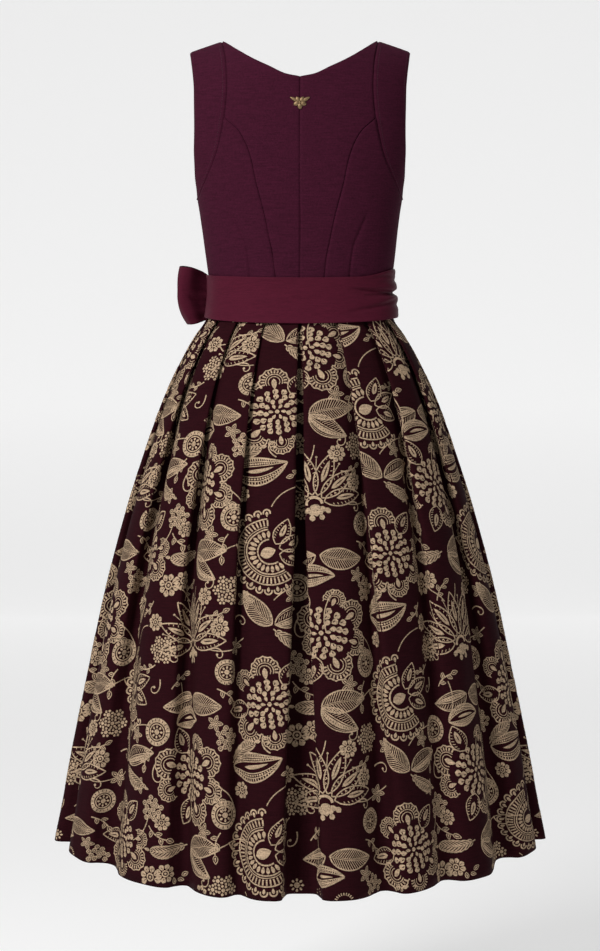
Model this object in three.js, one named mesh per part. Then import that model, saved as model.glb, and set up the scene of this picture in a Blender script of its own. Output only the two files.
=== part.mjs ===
// A dirndl in its worn shape: a sleeveless bodice of ten panels, a pleated midi skirt, a sash round
// the waist tied in a bow at the wearer's left front, and a small metal blossom on the back.
// Millimetres, +Z up. The wearer faces +Y, so the back of the dress faces -Y, and -X is the wearer's
// left. The origin is where the dress is held: midway between the two shoulder seams, at their
// middle height.
//
// Every level of the dress is a ring round the wearer. A place on a ring is an angle in degrees:
// 0 at the centre back, 90 at the wearer's right side, -90 at the left side, 180 at the centre front.

import * as THREE from "three";

// Driving sizes.
const BODICE_WALL = 1.5;
const SKIRT_WALL = 1.2;
const SASH_WALL = 1.2;
const SEAM_GAP = 0.3;
const WAIST_Z = -385;
const HEM_Z = -1193;
const HEM_DROP = 12;
const SHOULDER_INNER = { x: 115, z: 8 };
const SHOULDER_TIP = { x: 163, z: -8 };
const SHOULDER_Y = -8;
const SHOULDER_DROP = 95;
const UNDERARM_Z = -229;
const TORSO_SQUARENESS = 2.3;
const PLEAT_LAYER = 3.2;
const BOW_ANGLE = -135;

const COLOURS = {
  bodice: 0x43192b,
  skirt: 0x2a1119,
  sash: 0x4d1a27,
  metal: 0x8a7254,
};

// The torso's rings: half width, and depth behind and in front of the side seams.
const TORSO = [
  { z: 10, half: 178, back: 90, front: 72 },
  { z: -50, half: 176, back: 96, front: 84 },
  { z: -100, half: 172, back: 99, front: 100 },
  { z: -150, half: 165, back: 99, front: 118 },
  { z: -190, half: 158, back: 97, front: 126 },
  { z: -229, half: 151, back: 95, front: 120 },
  { z: -260, half: 146, back: 93, front: 110 },
  { z: -300, half: 141, back: 91, front: 99 },
  { z: -343, half: 136, back: 90, front: 92 },
  { z: -385, half: 133, back: 89, front: 89 },
];

// The skirt's outer rings. A squareness of 2 is an ellipse, and less is a lens with narrow sides.
const SKIRT = [
  { z: -385, half: 138, depth: 94, squareness: 2.3 },
  { z: -401, half: 139.6, depth: 96.5, squareness: 2.3 },
  { z: -410, half: 144.5, depth: 99.5, squareness: 2.28 },
  { z: -422, half: 153.5, depth: 106.5, squareness: 2.25 },
  { z: -454, half: 172.5, depth: 122, squareness: 2.15 },
  { z: -514, half: 201.5, depth: 148, squareness: 2.03 },
  { z: -574, half: 224, depth: 169, squareness: 1.96 },
  { z: -694, half: 263, depth: 206, squareness: 1.87 },
  { z: -814, half: 295, depth: 235, squareness: 1.8 },
  { z: -934, half: 321, depth: 260, squareness: 1.75 },
  { z: -1054, half: 346, depth: 282, squareness: 1.7 },
  { z: HEM_Z, half: 371, depth: 301, squareness: 1.65 },
];

// The folded edges of the pleats, from the centre back forward: where each stands at the waist and
// at the hem, and how deep the valley beside it is at the hem. All face the centre back.
const FOLDS_RIGHT = [
  { waist: 0.8, hem: 5, valley: 44 },
  { waist: 21.5, hem: 23, valley: 34 },
  { waist: 43.5, hem: 39, valley: 28 },
  { waist: 67, hem: 61, valley: 32 },
  { waist: 89, hem: 84, valley: 27 },
  { waist: 111, hem: 106, valley: 28 },
  { waist: 133, hem: 129, valley: 32 },
  { waist: 156, hem: 153, valley: 32 },
];
const FOLDS_LEFT = [
  { waist: 0.8, hem: 4, valley: 44 },
  { waist: 21.5, hem: 16, valley: 26 },
  { waist: 41, hem: 31, valley: 34 },
  { waist: 61, hem: 57, valley: 32 },
  { waist: 84, hem: 80, valley: 27 },
  { waist: 108, hem: 103, valley: 30 },
  { waist: 132, hem: 128, valley: 28 },
  { waist: 156, hem: 153, valley: 32 },
];

// One pleat's section, from its folded edge to the next: along is in pleat widths and sunk is how
// far inside the skirt's ring it lies, in layers at the waist, in mm at mid height and as a share
// of the valley at the hem.
const PLEAT = [
  { waist: [0, 0.5], mid: [0, 2.5], hem: [0, 0.22] },
  { waist: [0.03, 0], mid: [0.05, 0], hem: [0.07, 0.03] },
  { waist: [0.33, 0], mid: [0.33, 0], hem: [0.21, 0] },
  { waist: [0.62, 0.05], mid: [0.6, 2.5], hem: [0.38, 0.1] },
  { waist: [0.84, 0.8], mid: [0.8, 9], hem: [0.56, 0.38] },
  { waist: [1, 2], mid: [0.95, 18], hem: [0.72, 0.78] },
  { waist: [1.56, 2], mid: [1.08, 25], hem: [0.83, 0.98] },
  { waist: [1.56, 1], mid: [1.1, 18], hem: [0.91, 0.9] },
  { waist: [1.04, 1], mid: [1.025, 8.5], hem: [0.965, 0.56] },
];

// Half of the inverted pleat at the centre back, from the middle of its floor to the folded edge.
// Here along is a share of the first pleat's width at the waist and at mid height, and of the
// opening at the hem.
const CENTRE_PLEAT = [
  { waist: [0, 2], mid: [0, 34], hem: [0, 1] },
  { waist: [0.3, 2], mid: [0.14, 33], hem: [0.5, 0.99] },
  { waist: [0.56, 2], mid: [0.24, 29], hem: [0.74, 0.92] },
  { waist: [0.6, 1.5], mid: [0.26, 22], hem: [0.84, 0.74] },
  { waist: [0.56, 1], mid: [0.2, 14], hem: [0.9, 0.55] },
  { waist: [0.07, 1], mid: [0.06, 7], hem: [0.95, 0.38] },
];
const FRONT_PANEL = [0.3, 0.6, 0.82, 1];
const MID_HEIGHT = 0.36;
const SKIRT_LEVELS = [-385.3, -407, -416, -430, -458, -505, -575, -670, -790, -925, -1058, HEM_Z];

// Seams and edges of the bodice, as points seen from straight behind or in front.
const BACK_NECKLINE = [
  { x: 0, z: -54 },
  { x: 20, z: -50 },
  { x: 44, z: -38.5 },
  { x: 68, z: -26 },
  { x: 92, z: -10 },
  { x: SHOULDER_INNER.x, z: SHOULDER_INNER.z },
];
const SHOULDER_SEAM_BACK = [
  { x: SHOULDER_INNER.x, z: SHOULDER_INNER.z },
  { x: 108, z: -30 },
  { x: 106, z: -66 },
  { x: 110, z: -111 },
  { x: 120, z: -159 },
  { x: 136, z: -197 },
  { x: 147, z: -219 },
  { x: 151, z: UNDERARM_Z },
];
const PRINCESS_TOP_Z = -111;
const PRINCESS_BACK = [
  { x: 110, z: PRINCESS_TOP_Z },
  { x: 88, z: -132 },
  { x: 73, z: -164 },
  { x: 63.5, z: -206 },
  { x: 54, z: -242 },
  { x: 44.5, z: -285 },
  { x: 38, z: -320 },
  { x: 32, z: WAIST_Z },
];
const ARMHOLE_BACK = [
  { x: SHOULDER_TIP.x, z: SHOULDER_TIP.z },
  { x: 159, z: -40 },
  { x: 156.5, z: -71 },
  { x: 156, z: -110 },
  { x: 156.5, z: -158 },
  { x: 155.5, z: -187 },
  { x: 152.5, z: -214 },
  { x: 151.5, z: -222.5 },
];
const FRONT_NECKLINE = [
  { x: 0, z: -158 },
  { x: 24, z: -150 },
  { x: 48, z: -142 },
  { x: 70, z: -140 },
];
const PRINCESS_FRONT = [
  { x: 70, z: -140 },
  { x: 84, z: -192 },
  { x: 77, z: -250 },
  { x: 60, z: -315 },
  { x: 52, z: WAIST_Z },
];
const STRAP_EDGE_FRONT = [
  { x: SHOULDER_INNER.x, z: SHOULDER_INNER.z },
  { x: 109, z: -30 },
  { x: 100, z: -68 },
  { x: 87, z: -108 },
  { x: 70, z: -140 },
];
const ARMHOLE_FRONT = [
  { x: SHOULDER_TIP.x, z: SHOULDER_TIP.z },
  { x: 148, z: -50 },
  { x: 138, z: -100 },
  { x: 135, z: -150 },
  { x: 140, z: -195 },
  { x: 151, z: UNDERARM_Z },
];

// The sash's own rings, and its lower and upper edge at the sides. It dips at the back.
const SASH = [
  { z: -420, half: 149.5, back: 105, front: 105 },
  { z: -410, half: 147.2, back: 102.8, front: 102.8 },
  { z: -401, half: 142.9, back: 99.4, front: 99.4 },
  { z: -385, half: 140.4, back: 96.4, front: 96.4 },
  { z: -364, half: 138.6, back: 93.4, front: 94.4 },
  { z: -343, half: 138.4, back: 92.4, front: 94.5 },
  { z: -330, half: 139.8, back: 92.9, front: 96.4 },
  { z: -318, half: 141.4, back: 93.6, front: 98.6 },
];
const SASH_LOW = -397;
const SASH_HIGH = -335;
const SASH_BACK_DIP = { low: 12, high: 7.5 };
const SASH_SIDE_RISE = 9;
const SASH_CREASE = { from: 38, full: 78, to: 150, bulge: 6.5, trough: 4.6, foot: 0.15 };

const radians = THREE.MathUtils.degToRad;
const degrees = THREE.MathUtils.radToDeg;
const lerp = THREE.MathUtils.lerp;
const smooth = THREE.MathUtils.smoothstep;

// A smooth curve through a table's rows, which never overshoots them.
function through(rows, across, value) {
  const sorted = [...rows].sort((p, q) => p[across] - q[across]);
  const xs = sorted.map((row) => row[across]);
  const ys = sorted.map((row) => row[value]);
  const slopes = xs.slice(1).map((x, i) => (ys[i + 1] - ys[i]) / (x - xs[i]));
  const tangents = xs.map((_, i) => {
    const before = slopes[Math.max(i - 1, 0)];
    const after = slopes[Math.min(i, slopes.length - 1)];
    return before * after <= 0 ? 0 : (2 * before * after) / (before + after);
  });
  return (x) => {
    const inside = THREE.MathUtils.clamp(x, xs[0], xs[xs.length - 1]);
    const i = Math.min(Math.max(xs.findIndex((edge) => edge >= inside) - 1, 0), slopes.length - 1);
    const width = xs[i + 1] - xs[i];
    const t = (inside - xs[i]) / width;
    const start = (1 + 2 * t) * (1 - t) ** 2 * ys[i] + t * (1 - t) ** 2 * width * tangents[i];
    const end = t * t * (3 - 2 * t) * ys[i + 1] + t * t * (t - 1) * width * tangents[i + 1];
    return start + end;
  };
}

// A point of a ring: x is half * sin(angle), and y follows from |x/half|^n + |y/depth|^n = 1.
function ringPoint(angle, half, back, front, squareness, z) {
  const across = Math.sin(radians(angle));
  const behind = Math.cos(radians(angle)) >= 0;
  const share = Math.max(1 - Math.abs(across) ** squareness, 0) ** (1 / squareness);
  return new THREE.Vector3(half * across, behind ? -back * share : front * share, z);
}

// The torso's surface: a ring of the table, whose depth closes in over the shoulders as a quarter
// ellipse does.
const torsoHalf = through(TORSO, "z", "half");
const torsoBack = through(TORSO, "z", "back");
const torsoFront = through(TORSO, "z", "front");
const SHOULDER_SLOPE = (SHOULDER_INNER.z - SHOULDER_TIP.z) / (SHOULDER_TIP.x - SHOULDER_INNER.x);

function shoulderLine(x) {
  return SHOULDER_INNER.z + (SHOULDER_INNER.x - Math.abs(x)) * SHOULDER_SLOPE;
}

function torsoPoint(angle, z) {
  const p = ringPoint(angle, torsoHalf(z), torsoBack(z), torsoFront(z), TORSO_SQUARENESS, z);
  const below = THREE.MathUtils.clamp((shoulderLine(p.x) - z) / SHOULDER_DROP, 0, 1);
  p.y = lerp(SHOULDER_Y, p.y, Math.sqrt(1 - (1 - below) ** 2));
  return p;
}

function torsoAngle(x, z, side) {
  const angle = degrees(Math.asin(Math.min(Math.abs(x) / torsoHalf(z), 1)));
  return side === "back" ? angle : 180 - angle;
}

// The outward normal, from small steps along the surface. Steps go down, clear of the shoulder ridge.
function normalOf(surface, angle, z) {
  const step = 0.02;
  const here = surface(angle, z - step);
  const along = surface(angle + step, z - step).sub(surface(angle - step, z - step));
  const down = surface(angle, z - 3 * step).sub(here);
  return down.cross(along).normalize();
}

// A closed wall from a grid of places, rows of { p, n }: each place is moved out and in along its
// normal by half the thickness, and the four edges are closed. A ring has no side edges.
function wall(grid, thickness, isRing = false) {
  const rows = grid.length;
  const columns = grid[0].length;
  const positions = [];
  for (const sign of [1, -1])
    for (const row of grid)
      for (const { p, n } of row) {
        const q = p.clone().addScaledVector(n, (sign * thickness) / 2);
        positions.push(q.x, q.y, q.z);
      }
  const index = (layer, i, j) => (layer * rows + i) * columns + (j % columns);
  const faces = [];
  const quad = (a, b, c, d) => faces.push(a, b, c, a, c, d);
  const spans = isRing ? columns : columns - 1;
  for (let i = 0; i < rows - 1; i++)
    for (let j = 0; j < spans; j++) {
      quad(index(0, i, j), index(0, i, j + 1), index(0, i + 1, j + 1), index(0, i + 1, j));
      quad(index(1, i, j), index(1, i + 1, j), index(1, i + 1, j + 1), index(1, i, j + 1));
    }
  for (let j = 0; j < spans; j++) {
    quad(index(0, 0, j), index(1, 0, j), index(1, 0, j + 1), index(0, 0, j + 1));
    const last = rows - 1;
    quad(index(0, last, j), index(0, last, j + 1), index(1, last, j + 1), index(1, last, j));
  }
  if (!isRing)
    for (let i = 0; i < rows - 1; i++) {
      quad(index(0, i, 0), index(0, i + 1, 0), index(1, i + 1, 0), index(1, i, 0));
      const last = columns - 1;
      quad(index(0, i, last), index(1, i, last), index(1, i + 1, last), index(0, i + 1, last));
    }
  const geometry = new THREE.BufferGeometry();
  geometry.setAttribute("position", new THREE.Float32BufferAttribute(positions, 3));
  geometry.setIndex(signedVolume(positions, faces) < 0 ? turned(faces) : faces);
  return geometry;
}

function signedVolume(positions, faces) {
  const corner = (k) => new THREE.Vector3().fromArray(positions, 3 * faces[k]);
  let sum = 0;
  for (let k = 0; k < faces.length; k += 3) sum += corner(k).dot(corner(k + 1).cross(corner(k + 2)));
  return sum / 6;
}

function turned(faces) {
  const out = [...faces];
  for (let k = 0; k < out.length; k += 3) [out[k + 1], out[k + 2]] = [out[k + 2], out[k + 1]];
  return out;
}

const dress = new THREE.Group();

function add(name, geometry, colour, roughness = 0.85, metalness = 0) {
  const material = new THREE.MeshStandardMaterial({ color: colour, roughness, metalness });
  const mesh = new THREE.Mesh(geometry, material);
  mesh.name = name;
  dress.add(mesh);
  return mesh;
}

// Places on a seam, evenly spaced along it from its upper to its lower end.
// The first places are dense, because a seam turns over the shoulder there.
function seamPlaces(table, side, fromZ, toZ, segments) {
  const xAt = through(table, "z", "x");
  const dense = Array.from({ length: 401 }, (_, k) => lerp(fromZ, toZ, (k / 400) ** 2));
  const places = dense.map((z) => [torsoAngle(xAt(z), z, side), z]);
  return evenly(places, segments);
}

function evenly(places, segments) {
  const points = places.map(([angle, z]) => torsoPoint(angle, z));
  const run = [0];
  for (let k = 1; k < points.length; k++) run.push(run[k - 1] + points[k].distanceTo(points[k - 1]));
  const total = run[run.length - 1];
  return Array.from({ length: segments + 1 }, (_, m) => {
    const target = (total * m) / segments;
    const k = Math.max(run.findIndex((length) => length >= target - 1e-9), 1);
    const t = (target - run[k - 1]) / (run[k] - run[k - 1]);
    return [lerp(places[k - 1][0], places[k][0], t), lerp(places[k - 1][1], places[k][1], t)];
  });
}

function straightPlaces(from, to, segments) {
  const step = (k) => [lerp(from[0], to[0], k / segments), lerp(from[1], to[1], k / segments)];
  return Array.from({ length: segments + 1 }, (_, k) => step(k));
}

// A bodice panel between four edges, each a list of places: top and bottom run from the inner edge
// to the outer one, and inner and outer run down. The places between are a Coons patch: the mean
// of the two ruled surfaces less the bilinear one of the corners.
function panelGrid({ top, bottom, inner, outer }, sign) {
  const rows = inner.length;
  const columns = top.length;
  const grid = [];
  for (let i = 0; i < rows; i++) {
    const v = i / (rows - 1);
    const row = [];
    for (let j = 0; j < columns; j++) {
      const u = j / (columns - 1);
      const blend = (k) =>
        lerp(inner[i][k], outer[i][k], u) +
        lerp(top[j][k], bottom[j][k], v) -
        lerp(lerp(top[0][k], top[columns - 1][k], u), lerp(bottom[0][k], bottom[columns - 1][k], u), v);
      const [angle, z] = [blend(0), blend(1)];
      const p = torsoPoint(angle, z);
      const n = normalOf(torsoPoint, angle, z);
      p.x *= sign;
      n.x *= sign;
      row.push({ p, n });
    }
    grid.push(row);
  }
  return grid;
}

// Draws the named edges of a grid back by half a seam gap, so that neighbours stay apart.
function withSeamGaps(grid, edges) {
  const last = grid.length - 1;
  const end = grid[0].length - 1;
  const moves = [];
  const draw = (place, towards) => {
    const step = towards.p.clone().sub(place.p).setLength(SEAM_GAP / 2);
    moves.push(() => place.p.add(step));
  };
  grid.forEach((row) => {
    if (edges.includes("inner")) draw(row[0], row[1]);
    if (edges.includes("outer")) draw(row[end], row[end - 1]);
  });
  for (let j = 0; j <= end; j++) {
    if (edges.includes("top")) draw(grid[0][j], grid[1][j]);
    if (edges.includes("bottom")) draw(grid[last][j], grid[last - 1][j]);
  }
  moves.forEach((move) => move());
  return grid;
}

// The bodice, one side after the other.
const RIDGE = 2e-4;
const upperSeam = seamPlaces(SHOULDER_SEAM_BACK, "back", SHOULDER_INNER.z - RIDGE, PRINCESS_TOP_Z, 5);
const lowerSeam = seamPlaces(SHOULDER_SEAM_BACK, "back", PRINCESS_TOP_Z, UNDERARM_Z, 6);
const princessBack = seamPlaces(PRINCESS_BACK, "back", PRINCESS_TOP_Z, WAIST_Z, 8);
const armholeBack = seamPlaces(ARMHOLE_BACK, "back", SHOULDER_TIP.z - RIDGE, -222.5, 11);
const princessFront = seamPlaces(PRINCESS_FRONT, "front", -140, WAIST_Z, 8);
const strapEdge = seamPlaces(STRAP_EDGE_FRONT, "front", SHOULDER_INNER.z - RIDGE, -140, 6);
const armholeFront = seamPlaces(ARMHOLE_FRONT, "front", SHOULDER_TIP.z - RIDGE, UNDERARM_Z, 6);
const sideSeam = straightPlaces([90, UNDERARM_Z], [90, WAIST_Z], 8);
const centreBack = straightPlaces([0, BACK_NECKLINE[0].z], [0, WAIST_Z], 13);
const centreFront = straightPlaces([180, FRONT_NECKLINE[0].z], [180, WAIST_Z], 8);

// Places along a neckline from the centre outwards, for even steps of x.
function necklinePlaces(table, side, segments) {
  const zAt = through(table, "x", "z");
  const reach = table[table.length - 1].x;
  return Array.from({ length: segments + 1 }, (_, k) => {
    const x = (reach * k) / segments;
    const z = Math.min(zAt(x), shoulderLine(x) - RIDGE);
    return [torsoAngle(x, z, side), z];
  });
}

// Places along a shoulder seam, which is straight, from the neck out.
function shoulderPlaces(side, segments) {
  return Array.from({ length: segments + 1 }, (_, k) => {
    const x = lerp(SHOULDER_INNER.x, SHOULDER_TIP.x, k / segments);
    const z = shoulderLine(x) - RIDGE;
    return [torsoAngle(x, z, side), z];
  });
}

const backNeckline = necklinePlaces(BACK_NECKLINE, "back", 7);
const frontNeckline = necklinePlaces(FRONT_NECKLINE, "front", 5);
const waistPlaces = (from, to, segments) => straightPlaces([from, WAIST_Z], [to, WAIST_Z], segments);
const last = (places) => places[places.length - 1];

for (const [side, sign] of [["left", -1], ["right", 1]]) {
  const panels = {
    back_centre: {
      top: backNeckline,
      bottom: waistPlaces(0, last(princessBack)[0], 7),
      inner: centreBack,
      outer: [...upperSeam, ...princessBack.slice(1)],
    },
    back_side: {
      top: lowerSeam,
      bottom: waistPlaces(last(princessBack)[0], 90, 6),
      inner: princessBack,
      outer: sideSeam,
    },
    back_shoulder: {
      top: shoulderPlaces("back", 3),
      bottom: straightPlaces(last(lowerSeam), last(armholeBack), 3),
      inner: [...upperSeam, ...lowerSeam.slice(1)],
      outer: armholeBack,
    },
    front_centre: {
      top: frontNeckline,
      bottom: waistPlaces(180, last(princessFront)[0], 5),
      inner: centreFront,
      outer: princessFront,
    },
    front_side: {
      top: shoulderPlaces("front", 6),
      bottom: waistPlaces(last(princessFront)[0], 90, 6),
      inner: [...strapEdge, ...princessFront.slice(1)],
      outer: [...armholeFront, ...sideSeam.slice(1)],
    },
  };
  for (const [name, edges] of Object.entries(panels)) {
    const grid = withSeamGaps(panelGrid(edges, sign), ["inner", "outer", "top"]);
    add(`${name}_${side}`, wall(grid, BODICE_WALL), COLOURS.bodice);
  }
}

// The skirt's outer ring at a level, and its outward normal there.
const skirtHalf = through(SKIRT, "z", "half");
const skirtDepth = through(SKIRT, "z", "depth");
const skirtSquareness = through(SKIRT, "z", "squareness");

// The ring rounds off to an ellipse at the centre back and the centre front.
function skirtRing(angle, z) {
  const rounded = 1 - smooth(Math.abs(Math.sin(radians(angle))), 0, 0.75);
  const squareness = lerp(skirtSquareness(z), 2, rounded);
  return ringPoint(angle, skirtHalf(z), skirtDepth(z), skirtDepth(z), squareness, z);
}

function ringNormal(angle, z) {
  const step = 0.25;
  const along = skirtRing(angle + step, z).sub(skirtRing(angle - step, z));
  return new THREE.Vector3(along.y, -along.x, 0).normalize();
}

// A place of the skirt's section: its angle and how far it is sunk, mixed from the waist's folded
// section, the mid one and the hem's open one. Share is 0 at the waist and 1 at the hem.
function pleatPlace(at, fold, next, share, centre) {
  const opening = smooth(share, 0, MID_HEIGHT);
  const widening = smooth(share, MID_HEIGHT * 0.6, 1);
  const start = centre ? 0 : lerp(fold.waist, fold.hem, share);
  const width = centre ? next.waist : lerp(next.waist - fold.waist, next.hem - fold.hem, share);
  const hemWidth = centre ? fold.hem : width;
  const valley = centre ? fold.valley : next.valley;
  const folded = [start + at.waist[0] * width, at.waist[1] * PLEAT_LAYER];
  const half = [start + at.mid[0] * width, at.mid[1]];
  const open = [start + at.hem[0] * hemWidth, at.hem[1] * valley];
  const mix = (k) => lerp(lerp(folded[k], half[k], opening), open[k], widening);
  return [mix(0), mix(1)];
}

// All places of one half of the skirt, from the centre back to the centre front.
function halfSection(folds, share) {
  const places = CENTRE_PLEAT.map((at) => pleatPlace(at, folds[0], folds[1], share, true));
  for (let k = 0; k < folds.length - 1; k++)
    for (const at of PLEAT) places.push(pleatPlace(at, folds[k], folds[k + 1], share, false));
  const lastFold = folds[folds.length - 1];
  const middle = { waist: 180, hem: 180, valley: lastFold.valley };
  for (const at of PLEAT.slice(0, 2)) places.push(pleatPlace(at, lastFold, middle, share, false));
  const edge = places[places.length - 1][0];
  for (const part of FRONT_PANEL) places.push([lerp(edge, 180, part), 0]);
  return places;
}

// The whole section at a level, from the centre back round the right side, the front and the left.
// The hem hangs a little lower at the centre back and front than at the sides.
function skirtSection(z) {
  const share = (WAIST_Z - z) / (WAIST_Z - HEM_Z);
  const right = halfSection(FOLDS_RIGHT, share);
  const left = halfSection(FOLDS_LEFT, share).map(([angle, sunk]) => [-angle, sunk]);
  const round = [...right, ...left.slice(1, -1).reverse()];
  return round.map(([angle, sunk]) => {
    const p = skirtRing(angle, z).addScaledVector(ringNormal(angle, z), -sunk);
    if (z === HEM_Z) p.z -= HEM_DROP * Math.cos(radians(angle)) ** 2;
    return p;
  });
}

// Each level's points, with normals square to the section in its own plane.
function skirtGrid() {
  return SKIRT_LEVELS.map((z) => {
    const points = skirtSection(z);
    const count = points.length;
    return points.map((p, j) => {
      const before = points[(j + count - 1) % count];
      const after = points[(j + 1) % count];
      const a = p.clone().sub(before).normalize();
      const b = after.clone().sub(p).normalize();
      const along = a.clone().add(b).normalize();
      const stretch = 1 / Math.max(along.dot(b), 0.75);
      const n = new THREE.Vector3(along.y, -along.x, 0).multiplyScalar(stretch);
      return { p: p.clone(), n };
    });
  });
}

// The front and the back of the skirt meet in the turned-under layer of the pleats at the sides.
const skirtRound = skirtGrid();
const columnCount = skirtRound[0].length;
const SIDE_FOLD = 4;
const SEAM_IN_PLEAT = 5;
const rightSeam = CENTRE_PLEAT.length + (SIDE_FOLD - 1) * PLEAT.length + SEAM_IN_PLEAT;
const leftSeam = columnCount - rightSeam;

function skirtColumns(from, to) {
  const grid = skirtRound.map((row) => {
    const part = [];
    for (let j = from; j <= to; j++) {
      const { p, n } = row[(j + columnCount) % columnCount];
      part.push({ p: p.clone(), n: n.clone() });
    }
    return part;
  });
  return withSeamGaps(grid, ["inner", "outer"]);
}

add("skirt_back", wall(skirtColumns(leftSeam - columnCount, rightSeam), SKIRT_WALL), COLOURS.skirt);
add("skirt_front", wall(skirtColumns(rightSeam, leftSeam), SKIRT_WALL), COLOURS.skirt);

// The sash: rings between its lower and upper edge. On the right it rises and gathers into a bulge
// with one long crease.
const sashHalf = through(SASH, "z", "half");
const sashBack = through(SASH, "z", "back");
const sashFront = through(SASH, "z", "front");
const SASH_ROWS = [0, 0.2, 0.4, 0.5, 0.6, 0.8, 1];
const SASH_COLUMNS = 56;

function creaseShare(angle) {
  const { from, full, to } = SASH_CREASE;
  return smooth(angle, from, full) * (1 - smooth(angle, full + 30, to));
}

function sashPoint(angle, up) {
  const crease = creaseShare(angle);
  const dip = lerp(SASH_BACK_DIP.low, SASH_BACK_DIP.high, up) * Math.max(Math.cos(radians(angle)), 0);
  const z = lerp(SASH_LOW, SASH_HIGH, up) - dip + SASH_SIDE_RISE * crease * up * up;
  const p = ringPoint(angle, sashHalf(z), sashBack(z), sashFront(z), TORSO_SQUARENESS, z);
  const swell = Math.max(Math.sin(Math.PI * lerp(SASH_CREASE.foot, 1, up)), 0) ** 0.7;
  const bulge = SASH_CREASE.bulge * crease * swell;
  const trough = SASH_CREASE.trough * crease * Math.exp(-(((up - 0.5) / 0.06) ** 2));
  const n = new THREE.Vector3(Math.sin(radians(angle)), -Math.cos(radians(angle)), 0);
  return p.addScaledVector(n, bulge - trough);
}

function sashNormal(angle, up) {
  const step = 0.01;
  const along = sashPoint(angle + step, up).sub(sashPoint(angle - step, up));
  const rise = sashPoint(angle, up + step).sub(sashPoint(angle, up - step));
  return along.cross(rise).normalize();
}

const sashGrid = SASH_ROWS.map((up) =>
  Array.from({ length: SASH_COLUMNS }, (_, j) => {
    const angle = (360 * j) / SASH_COLUMNS - 180;
    return { p: sashPoint(angle, up), n: sashNormal(angle, up) };
  }),
);
add("sash", wall(sashGrid, SASH_WALL, true), COLOURS.sash, 0.7);

// The bow's own directions: out from the sash, along it towards the wearer's back, and up.
const bowSeat = sashPoint(BOW_ANGLE, 0.5);
const bowOut = sashNormal(BOW_ANGLE, 0.5).setZ(0).normalize();
const bowAlong = new THREE.Vector3(-bowOut.y, bowOut.x, 0);
if (bowAlong.y > 0) bowAlong.negate();
const KNOT = { along: 15, out: 9, up: 21 };
const KNOT_CLEAR = 0.5;
const knotCentre = bowSeat.clone().addScaledVector(bowOut, KNOT.out + SASH_WALL / 2 + KNOT_CLEAR);

function bowPoint(along, out, up) {
  const p = knotCentre.clone();
  return p.addScaledVector(bowAlong, along).addScaledVector(bowOut, out).add({ x: 0, y: 0, z: up });
}

// The knot is a rounded block: a sphere whose points are pushed towards the corners.
function knotGeometry() {
  const geometry = new THREE.SphereGeometry(1, 16, 11);
  const at = geometry.getAttribute("position");
  const squared = (v) => Math.sign(v) * Math.abs(v) ** 0.72;
  for (let k = 0; k < at.count; k++) {
    const [x, y, z] = [squared(at.getX(k)), squared(at.getY(k)), squared(at.getZ(k))];
    const pinch = 1 - 0.12 * Math.cos((Math.PI * y) / 2) ** 2;
    const p = bowPoint(x * KNOT.along * pinch, z * KNOT.out, y * KNOT.up);
    at.setXYZ(k, p.x, p.y, p.z);
  }
  const flat = new THREE.BufferGeometry();
  flat.setAttribute("position", at);
  const faces = [...geometry.getIndex().array];
  flat.setIndex(signedVolume(at.array, faces) < 0 ? turned(faces) : faces);
  return flat;
}
add("bow_knot", knotGeometry(), COLOURS.sash, 0.7);

// One loop of the bow, seen from above, from the knot out and back to it: along and out give the
// path, and half is half the ribbon's width there, which opens out from the knot.
const LOOP_PATH = [
  { run: 0, along: 13.7, out: 3.2, half: 15, lift: 0 },
  { run: 1, along: 26, out: 8.5, half: 24, lift: 0 },
  { run: 2, along: 45, out: 15, half: 37, lift: 1 },
  { run: 3, along: 68, out: 17, half: 42, lift: 2 },
  { run: 4, along: 86, out: 12, half: 43, lift: 2 },
  { run: 4.6, along: 92, out: 5, half: 43, lift: 2 },
  { run: 5.2, along: 91, out: -3, half: 43, lift: 2 },
  { run: 6, along: 78, out: -9.5, half: 42, lift: 2 },
  { run: 7, along: 56, out: -9, half: 38, lift: 1 },
  { run: 8, along: 34, out: -5, half: 27, lift: 0 },
  { run: 9, along: 13.7, out: -2.4, half: 15, lift: 0 },
];
const LOOP_STEPS = 22;
const LOOP_ROWS = 5;
const LOOP_TUCK = 17;

function loopGrid(direction, length) {
  const at = (key, run) => through(LOOP_PATH, "run", key)(run);
  const place = (run, up) => {
    const side = 2 * up - 1;
    const along = at("along", run);
    const far = Math.max((along - 40) / 50, 0);
    const tuck = LOOP_TUCK * far * Math.max(-side, 0) ** 2 + 5 * far * Math.max(side, 0) ** 3;
    const reach = 13.7 + (along - tuck - 13.7) * length;
    return bowPoint(direction * reach, at("out", run), at("lift", run) + side * at("half", run));
  };
  const grid = [];
  for (let i = 0; i <= LOOP_ROWS; i++) {
    const up = i / LOOP_ROWS;
    const row = [];
    for (let j = 0; j <= LOOP_STEPS; j++) {
      const run = (9 * j) / LOOP_STEPS;
      const step = 0.02;
      const along = place(Math.min(run + step, 9), up).sub(place(Math.max(run - step, 0), up));
      const rise = place(run, up + step).sub(place(run, up - step));
      row.push({ p: place(run, up), n: along.cross(rise).normalize() });
    }
    grid.push(row);
  }
  return grid;
}
add("bow_loop_back", wall(loopGrid(1, 1), SASH_WALL), COLOURS.sash, 0.7);
add("bow_loop_front", wall(loopGrid(-1, 0.95), SASH_WALL), COLOURS.sash, 0.7);

// The two tails hang from the knot over the skirt, gathered at the knot and cut on the slant below.
const TAILS = [
  { name: "bow_tail_back", lean: 7, length: 330, slant: 26 },
  { name: "bow_tail_front", lean: -9, length: 305, slant: -26 },
];
const TAIL = { topZ: -388, half: 39, gathered: 10, clear: 2.4, rows: 11, columns: 4, apart: 10.6 };

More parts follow.
